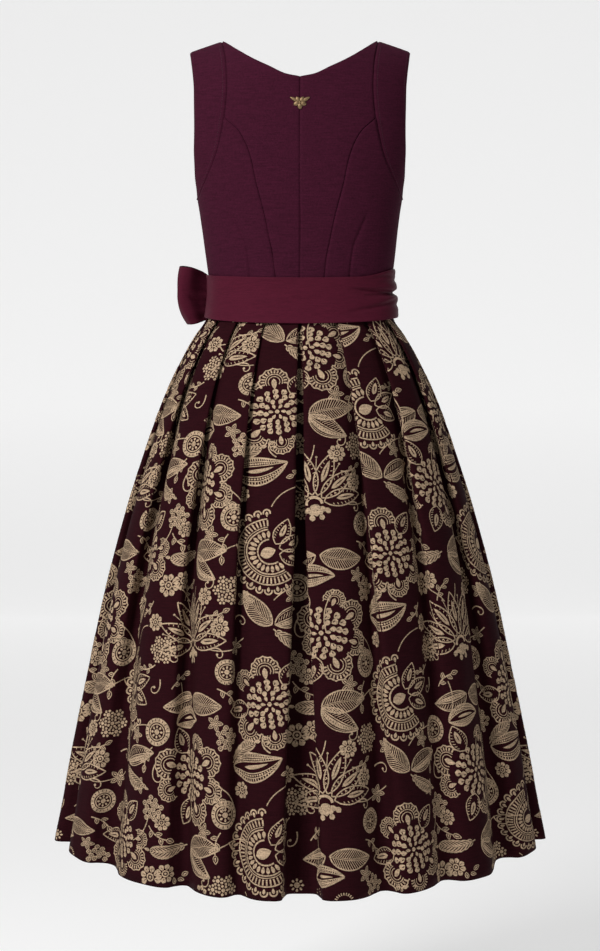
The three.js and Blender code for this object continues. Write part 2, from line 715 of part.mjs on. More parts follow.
function tailGrid({ lean, length, slant }) {
  const place = (across, down) => {
    const reach = length + slant * across;
    const z = TAIL.topZ - down * reach;
    const half = lerp(TAIL.gathered, TAIL.half, smooth(down, 0, 0.3));
    const perDegree = skirtRing(BOW_ANGLE + 0.5, z).distanceTo(skirtRing(BOW_ANGLE - 0.5, z));
    const shift = Math.sign(lean) * lerp(TAIL.apart, 0, smooth(down, 0, 0.5)) + lean * 7 * down;
    const sideways = Math.sign(lean) * TAIL.half * smooth(down, 0, 0.45) + shift;
    const angle = BOW_ANGLE + (across * half + sideways) / perDegree;
    const p = skirtRing(angle, z);
    const sashOut = 6.2 * (1 - smooth(-z, 394, 416));
    return p.addScaledVector(ringNormal(angle, z), TAIL.clear + sashOut);
  };
  const grid = [];
  for (let i = 0; i <= TAIL.rows; i++) {
    const down = (i / TAIL.rows) ** 1.15;
    const row = [];
    for (let j = 0; j <= TAIL.columns; j++) {
      const across = (2 * j) / TAIL.columns - 1;
      const step = 0.002;
      const along = place(across + step, down).sub(place(across - step, down));
      const fall = place(across, down + step).sub(place(across, Math.max(down - step, 0)));
      row.push({ p: place(across, down), n: along.cross(fall).normalize() });
    }
    grid.push(row);
  }
  return grid;
}
for (const tail of TAILS) add(tail.name, wall(tailGrid(tail), SASH_WALL), COLOURS.sash, 0.7);

// The metal blossom below the back neckline: five petals between two raised leaves, one flat piece.
const BLOSSOM = { z: -92, petal: 9.6, notch: 5.8, leaf: 16.4, thick: 1.8 };

function blossomReach(turn) {
  const petals = lerp(BLOSSOM.notch, BLOSSOM.petal, Math.abs(Math.cos(2.5 * (turn + Math.PI / 2))));
  const leafTurn = Math.min(Math.abs(turn - radians(28)), Math.abs(turn - radians(152)));
  const leaf = BLOSSOM.leaf * Math.max(1 - leafTurn / radians(17), 0) ** 0.7;
  return Math.max(petals, leaf);
}

function blossomGeometry() {
  const outline = Array.from({ length: 72 }, (_, k) => {
    const turn = radians((360 * k) / 72 - 90);
    const wrapped = turn < -Math.PI ? turn + 2 * Math.PI : turn;
    const reach = blossomReach(wrapped);
    return new THREE.Vector2(Math.cos(turn) * reach, Math.sin(turn) * reach);
  });
  const settings = { depth: BLOSSOM.thick, bevelEnabled: false, steps: 1 };
  const geometry = new THREE.ExtrudeGeometry(new THREE.Shape(outline), settings);
  geometry.rotateX(Math.PI / 2);
  const seat = torsoPoint(0, BLOSSOM.z).y - BODICE_WALL / 2 - SEAM_GAP;
  geometry.translate(0, seat, BLOSSOM.z);
  return geometry;
}
add("blossom_pin", blossomGeometry(), COLOURS.metal, 0.45, 0.9);

export default dress;
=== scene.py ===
import math

import bmesh
import bpy
import numpy as np
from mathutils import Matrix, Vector


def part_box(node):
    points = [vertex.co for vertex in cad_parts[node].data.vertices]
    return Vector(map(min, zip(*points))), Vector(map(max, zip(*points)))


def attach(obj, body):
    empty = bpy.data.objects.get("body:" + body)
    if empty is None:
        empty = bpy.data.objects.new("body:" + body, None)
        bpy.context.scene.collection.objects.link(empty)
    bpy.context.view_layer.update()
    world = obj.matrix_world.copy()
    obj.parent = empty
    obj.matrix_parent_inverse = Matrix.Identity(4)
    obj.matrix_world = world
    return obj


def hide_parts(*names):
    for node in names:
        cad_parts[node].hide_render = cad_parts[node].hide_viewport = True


bl_info = {
    "name": "Dirndl Dress",
    "version": (1, 0, 0),
    "blender": (4, 5, 0),
    "location": "View3D > Sidebar > Dirndl",
    "description": "Builds a pleated dirndl dress with its sash, bow and woven figure",
    "category": "Object",
}

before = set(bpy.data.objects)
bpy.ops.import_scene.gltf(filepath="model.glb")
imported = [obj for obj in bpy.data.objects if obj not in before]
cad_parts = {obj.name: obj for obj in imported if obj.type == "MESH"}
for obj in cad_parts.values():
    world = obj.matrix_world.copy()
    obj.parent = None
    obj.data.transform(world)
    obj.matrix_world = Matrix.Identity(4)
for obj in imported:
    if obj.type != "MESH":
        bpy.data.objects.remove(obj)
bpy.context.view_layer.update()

BODY = "root"
MM = 0.001
SEAM_GAP = 0.3
SEAM_LAP = 0.7
WAIST_Z = -385.0
SHOULDER_INNER = (115.0, 8.0)
SHOULDER_TIP = (163.0, -8.0)
SHOULDER_Y = -8.0
SHOULDER_DROP = 95.0
UNDERARM_Z = -229.0
RIDGE = 2e-4
TORSO_SQUARENESS = 2.3
BOW_ANGLE = -135.0
PLEAT_LAYER = 3.2
HEM_Z = -1193.0
HEM_DROP = 12.0
HEM_RISE = 11.0
MID_HEIGHT = 0.36

# Rings round the torso: z, half width, depth behind and depth in front of the side seams.
TORSO = np.array([
    (10, 178, 90, 72),
    (-50, 176, 96, 84),
    (-100, 172, 99, 100),
    (-150, 165, 99, 118),
    (-190, 158, 97, 126),
    (-229, 151, 95, 120),
    (-260, 146, 93, 110),
    (-300, 141, 91, 99),
    (-343, 136, 90, 92),
    (-385, 133, 89, 89),
], float)

# Rings round the skirt: z, half width, depth and squareness, where 2 is an ellipse.
SKIRT = np.array([
    (-385, 138, 94, 2.3),
    (-401, 139.6, 96.5, 2.3),
    (-410, 144.5, 99.5, 2.28),
    (-422, 153.5, 106.5, 2.25),
    (-454, 172.5, 122, 2.15),
    (-514, 201.5, 148, 2.03),
    (-574, 224, 169, 1.96),
    (-694, 263, 206, 1.87),
    (-814, 295, 235, 1.8),
    (-934, 321, 260, 1.75),
    (-1054, 346, 282, 1.7),
    (HEM_Z, 371, 301, 1.65),
], float)

# Rings round the sash: z, half width, depth behind and depth in front.
SASH = np.array([
    (-420, 149.5, 105, 105),
    (-410, 147.2, 102.8, 102.8),
    (-401, 142.9, 99.4, 99.4),
    (-385, 140.4, 96.4, 96.4),
    (-364, 138.6, 93.4, 94.4),
    (-343, 138.4, 92.4, 94.5),
    (-330, 139.8, 92.9, 96.4),
    (-318, 141.4, 93.6, 98.6),
], float)

# Folded edges of the pleats: angle at the waist, angle at the hem and depth of the valley there.
FOLDS = {
    "right": np.array([
        (0.8, 5, 44), (21.5, 23, 34), (43.5, 39, 28), (67, 61, 32),
        (89, 84, 27), (111, 106, 28), (133, 129, 32), (156, 153, 32),
    ], float),
    "left": np.array([
        (0.8, 4, 44), (21.5, 16, 26), (41, 31, 34), (61, 57, 32),
        (84, 80, 27), (108, 103, 30), (132, 128, 28), (156, 153, 32),
    ], float),
}

# One pleat's section from its folded edge to the next. Each row is along and sunk at the waist, at
# mid height and at the hem.
PLEAT = np.array([
    (0, 0.5, 0, 2.5, 0, 0.22),
    (0.03, 0, 0.05, 0, 0.07, 0.03),
    (0.33, 0, 0.33, 0, 0.21, 0),
    (0.62, 0.05, 0.6, 2.5, 0.38, 0.1),
    (0.84, 0.8, 0.8, 9, 0.56, 0.38),
    (1, 2, 0.95, 18, 0.72, 0.78),
    (1.56, 2, 1.08, 25, 0.83, 0.98),
    (1.56, 1, 1.1, 18, 0.91, 0.9),
    (1.04, 1, 1.025, 8.5, 0.965, 0.56),
], float)
CENTRE_PLEAT = np.array([
    (0, 2, 0, 34, 0, 1),
    (0.3, 2, 0.14, 33, 0.5, 0.99),
    (0.56, 2, 0.24, 29, 0.74, 0.92),
    (0.6, 1.5, 0.26, 22, 0.84, 0.74),
    (0.56, 1, 0.2, 14, 0.9, 0.55),
    (0.07, 1, 0.06, 7, 0.95, 0.38),
], float)
FRONT_PANEL = (0.3, 0.6, 0.82, 1.0)
# The side seam's place among a half section's points: on the fourth pleat after the centre one.
SEAM_COLUMN = len(CENTRE_PLEAT) + 3 * len(PLEAT) + 5

# Seams and edges of the bodice, as x and z seen from straight behind or in front.
BACK_NECKLINE = np.array([(0, -54), (20, -50), (44, -38.5), (68, -26), (92, -10), (115, 8)], float)
SHOULDER_SEAM = np.array([
    (115, 8), (108, -30), (106, -66), (110, -111), (120, -159), (136, -197), (147, -219), (151, -229),
], float)
PRINCESS_TOP_Z = -111.0
PRINCESS_BACK = np.array([
    (110, -111), (88, -132), (73, -164), (63.5, -206), (54, -242), (44.5, -285), (38, -320), (32, -385),
], float)
ARMHOLE_BACK = np.array([
    (163, -8), (159, -40), (156.5, -71), (156, -110), (156.5, -158), (155.5, -187), (152.5, -214),
    (151.5, -222.5),
], float)
FRONT_NECKLINE = np.array([(0, -158), (24, -150), (48, -142), (70, -140)], float)
PRINCESS_FRONT = np.array([(70, -140), (84, -192), (77, -250), (60, -315), (52, -385)], float)
STRAP_EDGE = np.array([(115, 8), (109, -30), (100, -68), (87, -108), (70, -140)], float)
ARMHOLE_FRONT = np.array([
    (163, -8), (148, -50), (138, -100), (135, -150), (140, -195), (151, -229),
], float)
WAIST_DART = np.array([(99, -247), (88.5, -271), (78, -298), (73, -336)], float)


def smoothstep(x, low, high):
    """0 below low and 1 above high, and between them 3t^2 - 2t^3 of the share t."""
    t = np.clip((np.asarray(x, float) - low) / (high - low), 0, 1)
    return t * t * (3 - 2 * t)


def lerp(a, b, t):
    """a where t is 0 and b where t is 1."""
    return a + (b - a) * t


def through(xs, ys, x):
    """A smooth curve through the points xs, ys that never overshoots them. Each stretch is a cubic
    whose slope at a point is the harmonic mean of the two chords that meet there."""
    order = np.argsort(xs)
    xs, ys = np.asarray(xs, float)[order], np.asarray(ys, float)[order]
    chords = np.diff(ys) / np.diff(xs)
    before, after = np.r_[chords[0], chords], np.r_[chords, chords[-1]]
    product = before * after
    total = np.where(before + after == 0, 1, before + after)
    slopes = np.where(product > 0, 2 * product / total, 0)
    inside = np.clip(x, xs[0], xs[-1])
    i = np.clip(np.searchsorted(xs, inside) - 1, 0, len(chords) - 1)
    width = xs[i + 1] - xs[i]
    t = (inside - xs[i]) / width
    start = (1 + 2 * t) * (1 - t) ** 2 * ys[i] + t * (1 - t) ** 2 * width * slopes[i]
    return start + t * t * (3 - 2 * t) * ys[i + 1] + t * t * (t - 1) * width * slopes[i + 1]


def ring_point(angle, half, back, front, squareness, z):
    """x is half sin(angle), and y follows from |x / half|^n + |y / depth|^n = 1, behind or in front."""
    across = np.sin(np.radians(angle))
    behind = np.cos(np.radians(angle)) >= 0
    share = np.maximum(1 - np.abs(across) ** squareness, 0) ** (1 / squareness)
    return np.stack([half * across, np.where(behind, -back, front) * share, z + 0 * across], -1)


def unit(v):
    """v divided by its length."""
    return v / np.maximum(np.linalg.norm(v, axis=-1, keepdims=True), 1e-12)


def shoulder_line(x):
    """The height of the shoulder seams, straight from the neck to the tip."""
    slope = (SHOULDER_INNER[1] - SHOULDER_TIP[1]) / (SHOULDER_TIP[0] - SHOULDER_INNER[0])
    return SHOULDER_INNER[1] + (SHOULDER_INNER[0] - np.abs(x)) * slope


def torso_half(z):
    """Half the torso's width at a height."""
    return through(TORSO[:, 0], TORSO[:, 1], z)


def torso_point(angle, z):
    """The torso's ring at z, whose depth closes in towards the shoulder line as a quarter ellipse."""
    back, front = (through(TORSO[:, 0], TORSO[:, k], z) for k in (2, 3))
    p = ring_point(angle, torso_half(z), back, front, TORSO_SQUARENESS, z)
    below = np.clip((shoulder_line(p[..., 0]) - z) / SHOULDER_DROP, 0, 1)
    p[..., 1] = lerp(SHOULDER_Y, p[..., 1], np.sqrt(1 - (1 - below) ** 2))
    return p


def torso_angle(x, z, front=False):
    """The angle whose ring point has that x."""
    angle = np.degrees(np.arcsin(np.minimum(np.abs(x) / torso_half(z), 1)))
    return 180 - angle if front else angle


def torso_normal(angle, z):
    """The outward normal: the step down crossed with the step along."""
    step = 0.02
    here = torso_point(angle, z - step)
    along = torso_point(angle + step, z - step) - torso_point(angle - step, z - step)
    return unit(np.cross(torso_point(angle, z - 3 * step) - here, along))


def spaced(places, count):
    """count places at equal distances along a run of (angle, z) places on the torso."""
    p = torso_point(places[:, 0], places[:, 1])
    run = np.r_[0, np.cumsum(np.linalg.norm(np.diff(p, axis=0), axis=1))]
    at = np.linspace(0, run[-1], count)
    return np.stack([np.interp(at, run, places[:, k]) for k in (0, 1)], -1)


def seam(table, top, bottom, count, front=False):
    """count (angle, z) places down a seam of the table, at equal distances."""
    z = top + (bottom - top) * np.linspace(0, 1, 801) ** 2
    x = through(table[:, 1], table[:, 0], z)
    return spaced(np.stack([torso_angle(x, z, front), z], -1), count)


def straight(start, end, count):
    """count places on the straight way between two (angle, z) places."""
    return lerp(np.array(start, float), np.array(end, float), np.linspace(0, 1, count)[:, None])


def neckline(table, count, front=False):
    """count places from the centre out along a neckline, at even steps of x."""
    x = np.linspace(0, table[-1, 0], count)
    z = np.minimum(through(table[:, 0], table[:, 1], x), shoulder_line(x) - RIDGE)
    return np.stack([torso_angle(x, z, front), z], -1)


def shoulder(count, front=False):
    """count places out along a shoulder seam."""
    x = np.linspace(SHOULDER_INNER[0], SHOULDER_TIP[0], count)
    z = shoulder_line(x) - RIDGE
    return np.stack([torso_angle(x, z, front), z], -1)


def coons(top, bottom, inner, outer):
    """The places between four edges: the mean of the two ruled surfaces less the bilinear one of
    the corners."""
    u = np.linspace(0, 1, len(top))[None, :, None]
    v = np.linspace(0, 1, len(inner))[:, None, None]
    corners = lerp(lerp(top[0], top[-1], u), lerp(bottom[0], bottom[-1], u), v)
    return lerp(inner[:, None], outer[:, None], u) + lerp(top[None], bottom[None], v) - corners


def arc(points, axis):
    """Distance along a grid's rows or columns from its first line."""
    steps = np.linalg.norm(np.diff(points, axis=axis), axis=-1)
    first = np.zeros_like(np.take(steps, [0], axis=axis))
    return np.cumsum(np.concatenate([first, steps], axis=axis), axis=axis)


def grid_faces(rows, columns, wrap=False):
    """Quads of a grid whose rows go down and whose columns go along, facing outwards."""
    i = np.arange(rows - 1)[:, None]
    j = np.arange(columns if wrap else columns - 1)[None]
    k = (j + 1) % columns
    corners = (i * columns + j, (i + 1) * columns + j, (i + 1) * columns + k, i * columns + k)
    return np.stack([np.broadcast_to(c, (rows - 1, j.size)) for c in corners], -1).reshape(-1, 4)


def make_mesh(name, points, faces, material, uv=None):
    """A mesh object from points in millimetres and faces of one size, with smooth shading."""
    points, faces = np.asarray(points, float).reshape(-1, 3), np.asarray(faces)
    mesh = bpy.data.meshes.new(name)
    mesh.vertices.add(len(points))
    mesh.vertices.foreach_set("co", (points * MM).astype(np.float32).ravel())
    mesh.loops.add(faces.size)
    mesh.loops.foreach_set("vertex_index", faces.astype(np.int32).ravel())
    mesh.polygons.add(len(faces))
    starts = np.arange(0, faces.size, faces.shape[1], dtype=np.int32)
    mesh.polygons.foreach_set("loop_start", starts)
    if uv is not None:
        layer = mesh.uv_layers.new(name="cloth")
        layer.data.foreach_set("uv", (uv.reshape(-1, 2)[faces.ravel()] * MM).astype(np.float32).ravel())
    mesh.update(calc_edges=True)
    mesh.polygons.foreach_set("use_smooth", np.ones(len(faces), bool))
    mesh.materials.append(material)
    piece = bpy.data.objects.new(name, mesh)
    bpy.context.scene.collection.objects.link(piece)
    return piece


def thicken(piece, thickness):
    """Gives a sheet its wall, inwards from its face."""
    wall = piece.modifiers.new("wall", "SOLIDIFY")
    wall.thickness = thickness * MM
    wall.offset = -1
    return wall


def place(piece, slot, *nodes):
    """Rides the piece on the dress and hides the nodes that it stands for. slot, the finish it takes, is
    not used.
    """
    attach(piece, BODY)
    if nodes:
        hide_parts(*nodes)
    return piece


# Materials

SLUB_SCALE = (60, 60, 800)
SLUB_SHARE = 0.45
WEAVE_DEPTH = 0.0006


def new_material(name):
    """An empty node material with its output and shader."""
    material = bpy.data.materials.new(name)
    material.use_nodes = True
    nodes, links = material.node_tree.nodes, material.node_tree.links
    return material, nodes, links, nodes["Principled BSDF"]


def linear(colour):
    """A 0 to 255 display colour as linear light."""
    c = np.asarray(colour, float) / 255
    return tuple(np.where(c <= 0.04045, c / 12.92, ((c + 0.055) / 1.055) ** 2.4)) + (1.0,)


def set_inputs(node, **values):
    """Sets a node's inputs, whose names are given with underscores for spaces."""
    for name, value in values.items():
        node.inputs[name.replace("_", " ")].default_value = value


def noise(nodes, links, stretch, detail, roughness):
    """A noise over the object's own space, with its scale along each axis."""
    where = nodes.new("ShaderNodeTexCoord")
    mapping = nodes.new("ShaderNodeMapping")
    set_inputs(mapping, Scale=stretch)
    links.new(where.outputs["Object"], mapping.inputs["Vector"])
    texture = nodes.new("ShaderNodeTexNoise")
    set_inputs(texture, Scale=1.0, Detail=detail, Roughness=roughness)
    links.new(mapping.outputs["Vector"], texture.inputs["Vector"])
    return texture.outputs["Fac"]


def cloth_material(name, colour, light, roughness, sheen, stretch, bump):
    """Cloth with a mottled weave. colour and light are the two tones, mixed by a fine noise, whose
    scales are in stretch, and by a long one, the slubs of the yarn."""
    material, nodes, links, shader = new_material(name)
    fine = noise(nodes, links, stretch, 3.0, 0.65)
    slubs = noise(nodes, links, SLUB_SCALE, 2.0, 0.5)
    both = nodes.new("ShaderNodeMix")
    set_inputs(both, Factor=SLUB_SHARE)
    links.new(fine, both.inputs[2])
    links.new(slubs, both.inputs[3])
    spread = nodes.new("ShaderNodeMapRange")
    set_inputs(spread, From_Min=0.35, From_Max=0.65)
    links.new(both.outputs[0], spread.inputs["Value"])
    tone = nodes.new("ShaderNodeMix")
    tone.data_type = "RGBA"
    tone.inputs[6].default_value = linear(colour)
    tone.inputs[7].default_value = linear(light)
    links.new(spread.outputs["Result"], tone.inputs["Factor"])
    links.new(tone.outputs[2], shader.inputs["Base Color"])
    relief = nodes.new("ShaderNodeBump")
    set_inputs(relief, Strength=bump, Distance=WEAVE_DEPTH)
    links.new(fine, relief.inputs["Height"])
    links.new(relief.outputs["Normal"], shader.inputs["Normal"])
    set_inputs(shader, Roughness=roughness, Sheen_Weight=sheen, Sheen_Roughness=0.5)
    set_inputs(shader, Sheen_Tint=linear(light), Specular_IOR_Level=0.1, Specular_Tint=linear(light))
    return material


def plain_material(name, colour, roughness, metallic=0.0):
    """One plain colour."""
    material, _, _, shader = new_material(name)
    set_inputs(shader, Base_Color=linear(colour), Roughness=roughness, Metallic=metallic)
    return material


# Bodice

# Rows of a panel above the princess seam's top, from there to the underarm, from either to the
# waist, and down a front strap. Columns of the centre, side, shoulder and front panels.
UPPER_ROWS, ARMHOLE_ROWS, LOWER_ROWS, STRAP_ROWS = 26, 30, 56, 34
CENTRE_COLUMNS, SIDE_COLUMNS, SHOULDER_COLUMNS, FRONT_COLUMNS = 72, 96, 48, 30


def bodice_edges():
    """The four edges of each panel of the right half, as (angle, z) places."""
    inner_z, tip_z = SHOULDER_INNER[1] - RIDGE, SHOULDER_TIP[1] - RIDGE
    front_z = PRINCESS_FRONT[0, 1]
    upper = seam(SHOULDER_SEAM, inner_z, PRINCESS_TOP_Z, UPPER_ROWS)
    lower = seam(SHOULDER_SEAM, PRINCESS_TOP_Z, UNDERARM_Z, ARMHOLE_ROWS)
    princess = seam(PRINCESS_BACK, PRINCESS_TOP_Z, WAIST_Z, LOWER_ROWS)
    armhole = seam(ARMHOLE_BACK, tip_z, ARMHOLE_BACK[-1, 1], UPPER_ROWS + ARMHOLE_ROWS - 1)
    princess_front = seam(PRINCESS_FRONT, front_z, WAIST_Z, LOWER_ROWS, True)
    strap = seam(STRAP_EDGE, inner_z, front_z, STRAP_ROWS, True)
    armhole_front = seam(ARMHOLE_FRONT, tip_z, UNDERARM_Z, STRAP_ROWS, True)
    side = straight((90, UNDERARM_Z), (90, WAIST_Z), LOWER_ROWS)

    def waist(start, end, count):
        return straight((start, WAIST_Z), (end, WAIST_Z), count)

    return {
        "back_centre": {
            "top": neckline(BACK_NECKLINE, CENTRE_COLUMNS),
            "bottom": waist(0, princess[-1, 0], CENTRE_COLUMNS),
            "inner": straight((0, BACK_NECKLINE[0, 1]), (0, WAIST_Z), UPPER_ROWS + LOWER_ROWS - 1),
            "outer": np.concatenate([upper, princess[1:]]),
        },
        "back_side": {
            "top": spaced(lower, SIDE_COLUMNS),
            "bottom": waist(princess[-1, 0], 90, SIDE_COLUMNS),
            "inner": princess,
            "outer": side,
        },
        "back_shoulder": {
            "top": shoulder(SHOULDER_COLUMNS),
            "bottom": straight(lower[-1], armhole[-1], SHOULDER_COLUMNS),
            "inner": np.concatenate([upper, lower[1:]]),
            "outer": armhole,
        },
        "front_centre": {
            "top": neckline(FRONT_NECKLINE, FRONT_COLUMNS, True),
            "bottom": waist(180, princess_front[-1, 0], FRONT_COLUMNS),
            "inner": straight((180, FRONT_NECKLINE[0, 1]), (180, WAIST_Z), LOWER_ROWS),
            "outer": princess_front,
        },
        "front_side": {
            "top": shoulder(FRONT_COLUMNS, True),
            "bottom": waist(princess_front[-1, 0], 90, FRONT_COLUMNS),
            "inner": np.concatenate([strap, princess_front[1:]]),
            "outer": np.concatenate([armhole_front, side[1:]]),
        },
    }


def seam_relief(points, groove):
    """How far the cloth sinks at a panel's side seams: a narrow groove, and the soft pull of the
    stitches, which comes and goes along the seam."""
    across, down = arc(points, 1), arc(points, 0)
    sunk = np.zeros(points.shape[:2])
    for near in (across, across[:, -1:] - across):
        pull = 0.5 + 0.5 * np.sin(down / 9.0 + 1.7 * np.sin(down / 31.0))
        sunk += groove * np.exp(-((near / 1.6) ** 2)) + 0.3 * pull * np.exp(-((near / 7.0) ** 2))
    return sunk


def dart_relief(points):
    """The waist dart of the back: a groove along its line, which runs out at its upper end."""
    x = np.abs(points[..., 0])
    z = points[..., 2]
    line = through(WAIST_DART[:, 1], WAIST_DART[:, 0], z)
    inside = smoothstep(-z, -WAIST_DART[0, 1], -WAIST_DART[0, 1] + 14)
    return inside * (1.7 * np.exp(-(((x - line) / 1.5) ** 2)) + 0.7 * np.exp(-(((x - line) / 9) ** 2)))


def wearing_folds(points, sign):
    """Soft dents of a bodice that has been worn: shallow waves that rise from the waist outwards."""
    x, z = points[..., 0] * sign, points[..., 2]
    low = smoothstep(-z, 150, 330)
    lean = 0.55 * x * sign + 0.35 * z
    return 0.55 * low * np.sin(lean / 13.0 + sign * 0.8) + 0.35 * np.sin(x / 37.0 + z / 52.0 + sign)


class DressSettings(bpy.types.PropertyGroup):
    """The sizes and colours of the dress that a user would change."""

    bodice_wall: bpy.props.FloatProperty(
        name="Bodice wall", description="Thickness of the bodice's cloth in mm",
        default=1.5, min=0.5, max=3,
    )
    skirt_wall: bpy.props.FloatProperty(
        name="Skirt wall", description="Thickness of the skirt's cloth in mm",
        default=1.0, min=0.4, max=2,
    )
    figure_relief: bpy.props.FloatProperty(
        name="Figure relief", description="How far the woven figure stands out in mm",
        default=0.35, min=0.1, max=1,
    )
    bodice_colour: bpy.props.FloatVectorProperty(
        name="Bodice colour", description="Colour of the bodice",
        subtype="COLOR", default=linear((56, 20, 35))[:3],
    )
    sash_colour: bpy.props.FloatVectorProperty(
        name="Sash colour", description="Colour of the sash and bow",
        subtype="COLOR", default=linear((68, 22, 36))[:3],
    )
    ground_colour: bpy.props.FloatVectorProperty(
        name="Skirt ground", description="Colour of the skirt between its figures",
        subtype="COLOR", default=linear((36, 13, 17))[:3],
    )
    figure_colour: bpy.props.FloatVectorProperty(
        name="Figure colour", description="Colour of the woven figure",
        subtype="COLOR", default=linear((186, 160, 132))[:3],
    )


def display(colour, share=1.0):
    """A linear colour back as 0 to 255, lightened or darkened by share."""
    c = np.asarray(colour, float)[:3]
    shown = np.where(c <= 0.0031308, c * 12.92, 1.055 * np.maximum(c, 0) ** (1 / 2.4) - 0.055)
    return tuple(np.clip(shown * 255 * share, 0, 255))


def two_toned(name, colour, dark, light, roughness, sheen, stretch, bump):
    """Cloth whose two tones are shares of one setting's colour."""
    tones = display(colour, dark), display(colour, light)
    return cloth_material(name, *tones, roughness, sheen, stretch, bump)


def thread_material():
    """Dark sewing thread."""
    return bpy.data.materials.get("plum_thread") or plain_material("plum_thread", (46, 15, 29), 0.7)


def stitches(name, line, normal, pitch=3.4, length=2.3, radius=0.28):
    """Stitches along a line: small six-sided spindles lying on the cloth at equal distances. A
    stitch is a ring of radius r sin(pi t) carried along its length."""
    run = np.r_[0, np.cumsum(np.linalg.norm(np.diff(line, axis=0), axis=1))]
    at = np.arange(pitch, run[-1] - pitch, pitch)
    centre = np.stack([np.interp(at, run, line[:, k]) for k in range(3)], -1)
    ahead = np.stack([np.interp(at + 0.5, run, line[:, k]) for k in range(3)], -1)
    along = unit(ahead - centre)
    out = unit(np.stack([np.interp(at, run, normal[:, k]) for k in range(3)], -1))
    side = np.cross(along, out)
    t = np.array([0.02, 0.2, 0.5, 0.8, 0.98])
    turn = np.radians(np.arange(0, 360, 60))
    swell = radius * np.sin(np.pi * t)
    ring = np.cos(turn)[:, None, None] * side + np.sin(turn)[:, None, None] * out
    lengthwise = (t - 0.5)[:, None, None] * length * along
    points = centre + lengthwise[:, None] + swell[:, None, None, None] * ring[None] + radius * 0.4 * out
    points = points.transpose(2, 0, 1, 3)
    faces = grid_faces(len(t), len(turn), wrap=True)
    offset = np.arange(len(points))[:, None, None] * (len(t) * len(turn))
    piece = make_mesh(name, points, (faces[None] + offset).reshape(-1, 4), thread_material())
    return place(piece, "bodice_cloth")


class DIRNDL_OT_bodice(bpy.types.Operator):
    """Builds the ten panels of the bodice with their seams and topstitching"""

    bl_idname = "dirndl.bodice"
    bl_label = "Bodice"

    def execute(self, context):
        settings = context.scene.dirndl
        material = two_toned(
            "plum_cloth", settings.bodice_colour, 0.84, 1.12, 0.85, 0.25, (420, 420, 420), 0.35
        )
        for side, sign in (("left", -1), ("right", 1)):
            for name, edges in bodice_edges().items():
                places = coons(**edges)
                points = torso_point(places[..., 0], places[..., 1])
                normals = torso_normal(places[..., 0], places[..., 1])
                groove = 2.2 if name == "back_shoulder" else 1.5
                sunk = seam_relief(points, groove) + wearing_folds(points, sign)
                if name == "back_side":
                    sunk += dart_relief(points)
                mirror = np.array([sign, 1, 1])
                shift = settings.bodice_wall / 2 - sunk
                shaped = (points + normals * shift[..., None]) * mirror
                inner = arc(shaped, 1)
                draw = np.clip(1 - inner / 3, 0, 1) - np.clip(1 - (inner[:, -1:] - inner) / 3, 0, 1)
                shaped -= unit(np.gradient(shaped, axis=1)) * draw[..., None] * SEAM_LAP
                grid = shaped if sign > 0 else shaped[:, ::-1]
                if name.startswith("front"):
                    grid = grid[:, ::-1]
                panel = make_mesh(
                    f"{name}_panel_{side}", grid, grid_faces(*grid.shape[:2]), material
                )
                thicken(panel, settings.bodice_wall)
                place(panel, "bodice_cloth", f"{name}_{side}")
                if name == "back_shoulder":
                    for column, label in ((5, "seam"), (-6, "edge")):
                        line = shaped[:, column]
                        stitches(f"{label}_stitches_{side}", line, normals[:, column] * mirror)
                if name == "front_side":
                    line, out = shaped[:STRAP_ROWS, -4], normals[:STRAP_ROWS, -4]
                    stitches(f"front_edge_stitches_{side}", line, out * mirror)
        return {"FINISHED"}


# Skirt

SKIRT_LEVELS = 100
FINE = 5


def skirt_ring(angle, z):
    """The skirt's ring, which rounds off to an ellipse at the centre back and centre front."""
    half, depth, squareness = (through(SKIRT[:, 0], SKIRT[:, k], z) for k in (1, 2, 3))
    rounded = 1 - smoothstep(np.abs(np.sin(np.radians(angle))), 0, 0.75)
    return ring_point(angle, half, depth, depth, lerp(squareness, 2, rounded), z)


def skirt_normal(angle, z):
    """The ring's outward normal in its own plane."""
    step = 0.25
    along = skirt_ring(angle + step, z) - skirt_ring(angle - step, z)
    return unit(np.stack([along[..., 1], -along[..., 0], 0 * along[..., 0]], -1))


def half_section(folds, share):
    """Angles and depths of one half of the skirt, rows for the heights in share. Each pleat is the
    PLEAT table laid between two folds, and it opens from the waist's layers to the hem's wave."""
    share = share[:, None]
    opening = smoothstep(share, 0, MID_HEIGHT)
    widening = smoothstep(share, MID_HEIGHT * 0.6, 1)

    def laid(table, start, width, hem_width, valley):
        folded = (start + table[:, 0] * width, table[:, 1] * PLEAT_LAYER)
        half = (start + table[:, 2] * width, table[:, 3])
        wide = (start + table[:, 4] * hem_width, table[:, 5] * valley)
        return [lerp(lerp(folded[k], half[k], opening), wide[k], widening) for k in (0, 1)]

    parts = [laid(CENTRE_PLEAT, 0, folds[1, 0], folds[0, 1], folds[0, 2])]
    for fold, after in zip(folds[:-1], folds[1:]):
        start = lerp(fold[0], fold[1], share)
        width = lerp(after[0] - fold[0], after[1] - fold[1], share)
        parts.append(laid(PLEAT, start, width, width, after[2]))
    start = lerp(folds[-1, 0], folds[-1, 1], share)
    parts.append(laid(PLEAT[:2], start, 180 - start, 180 - start, folds[-1, 2]))
    edge = parts[-1][0][:, -1:]
    front = lerp(edge, 180, np.array(FRONT_PANEL)[None])
    parts.append([front, 0 * front])
    return [np.concatenate([part[k] for part in parts], axis=1) for k in (0, 1)]


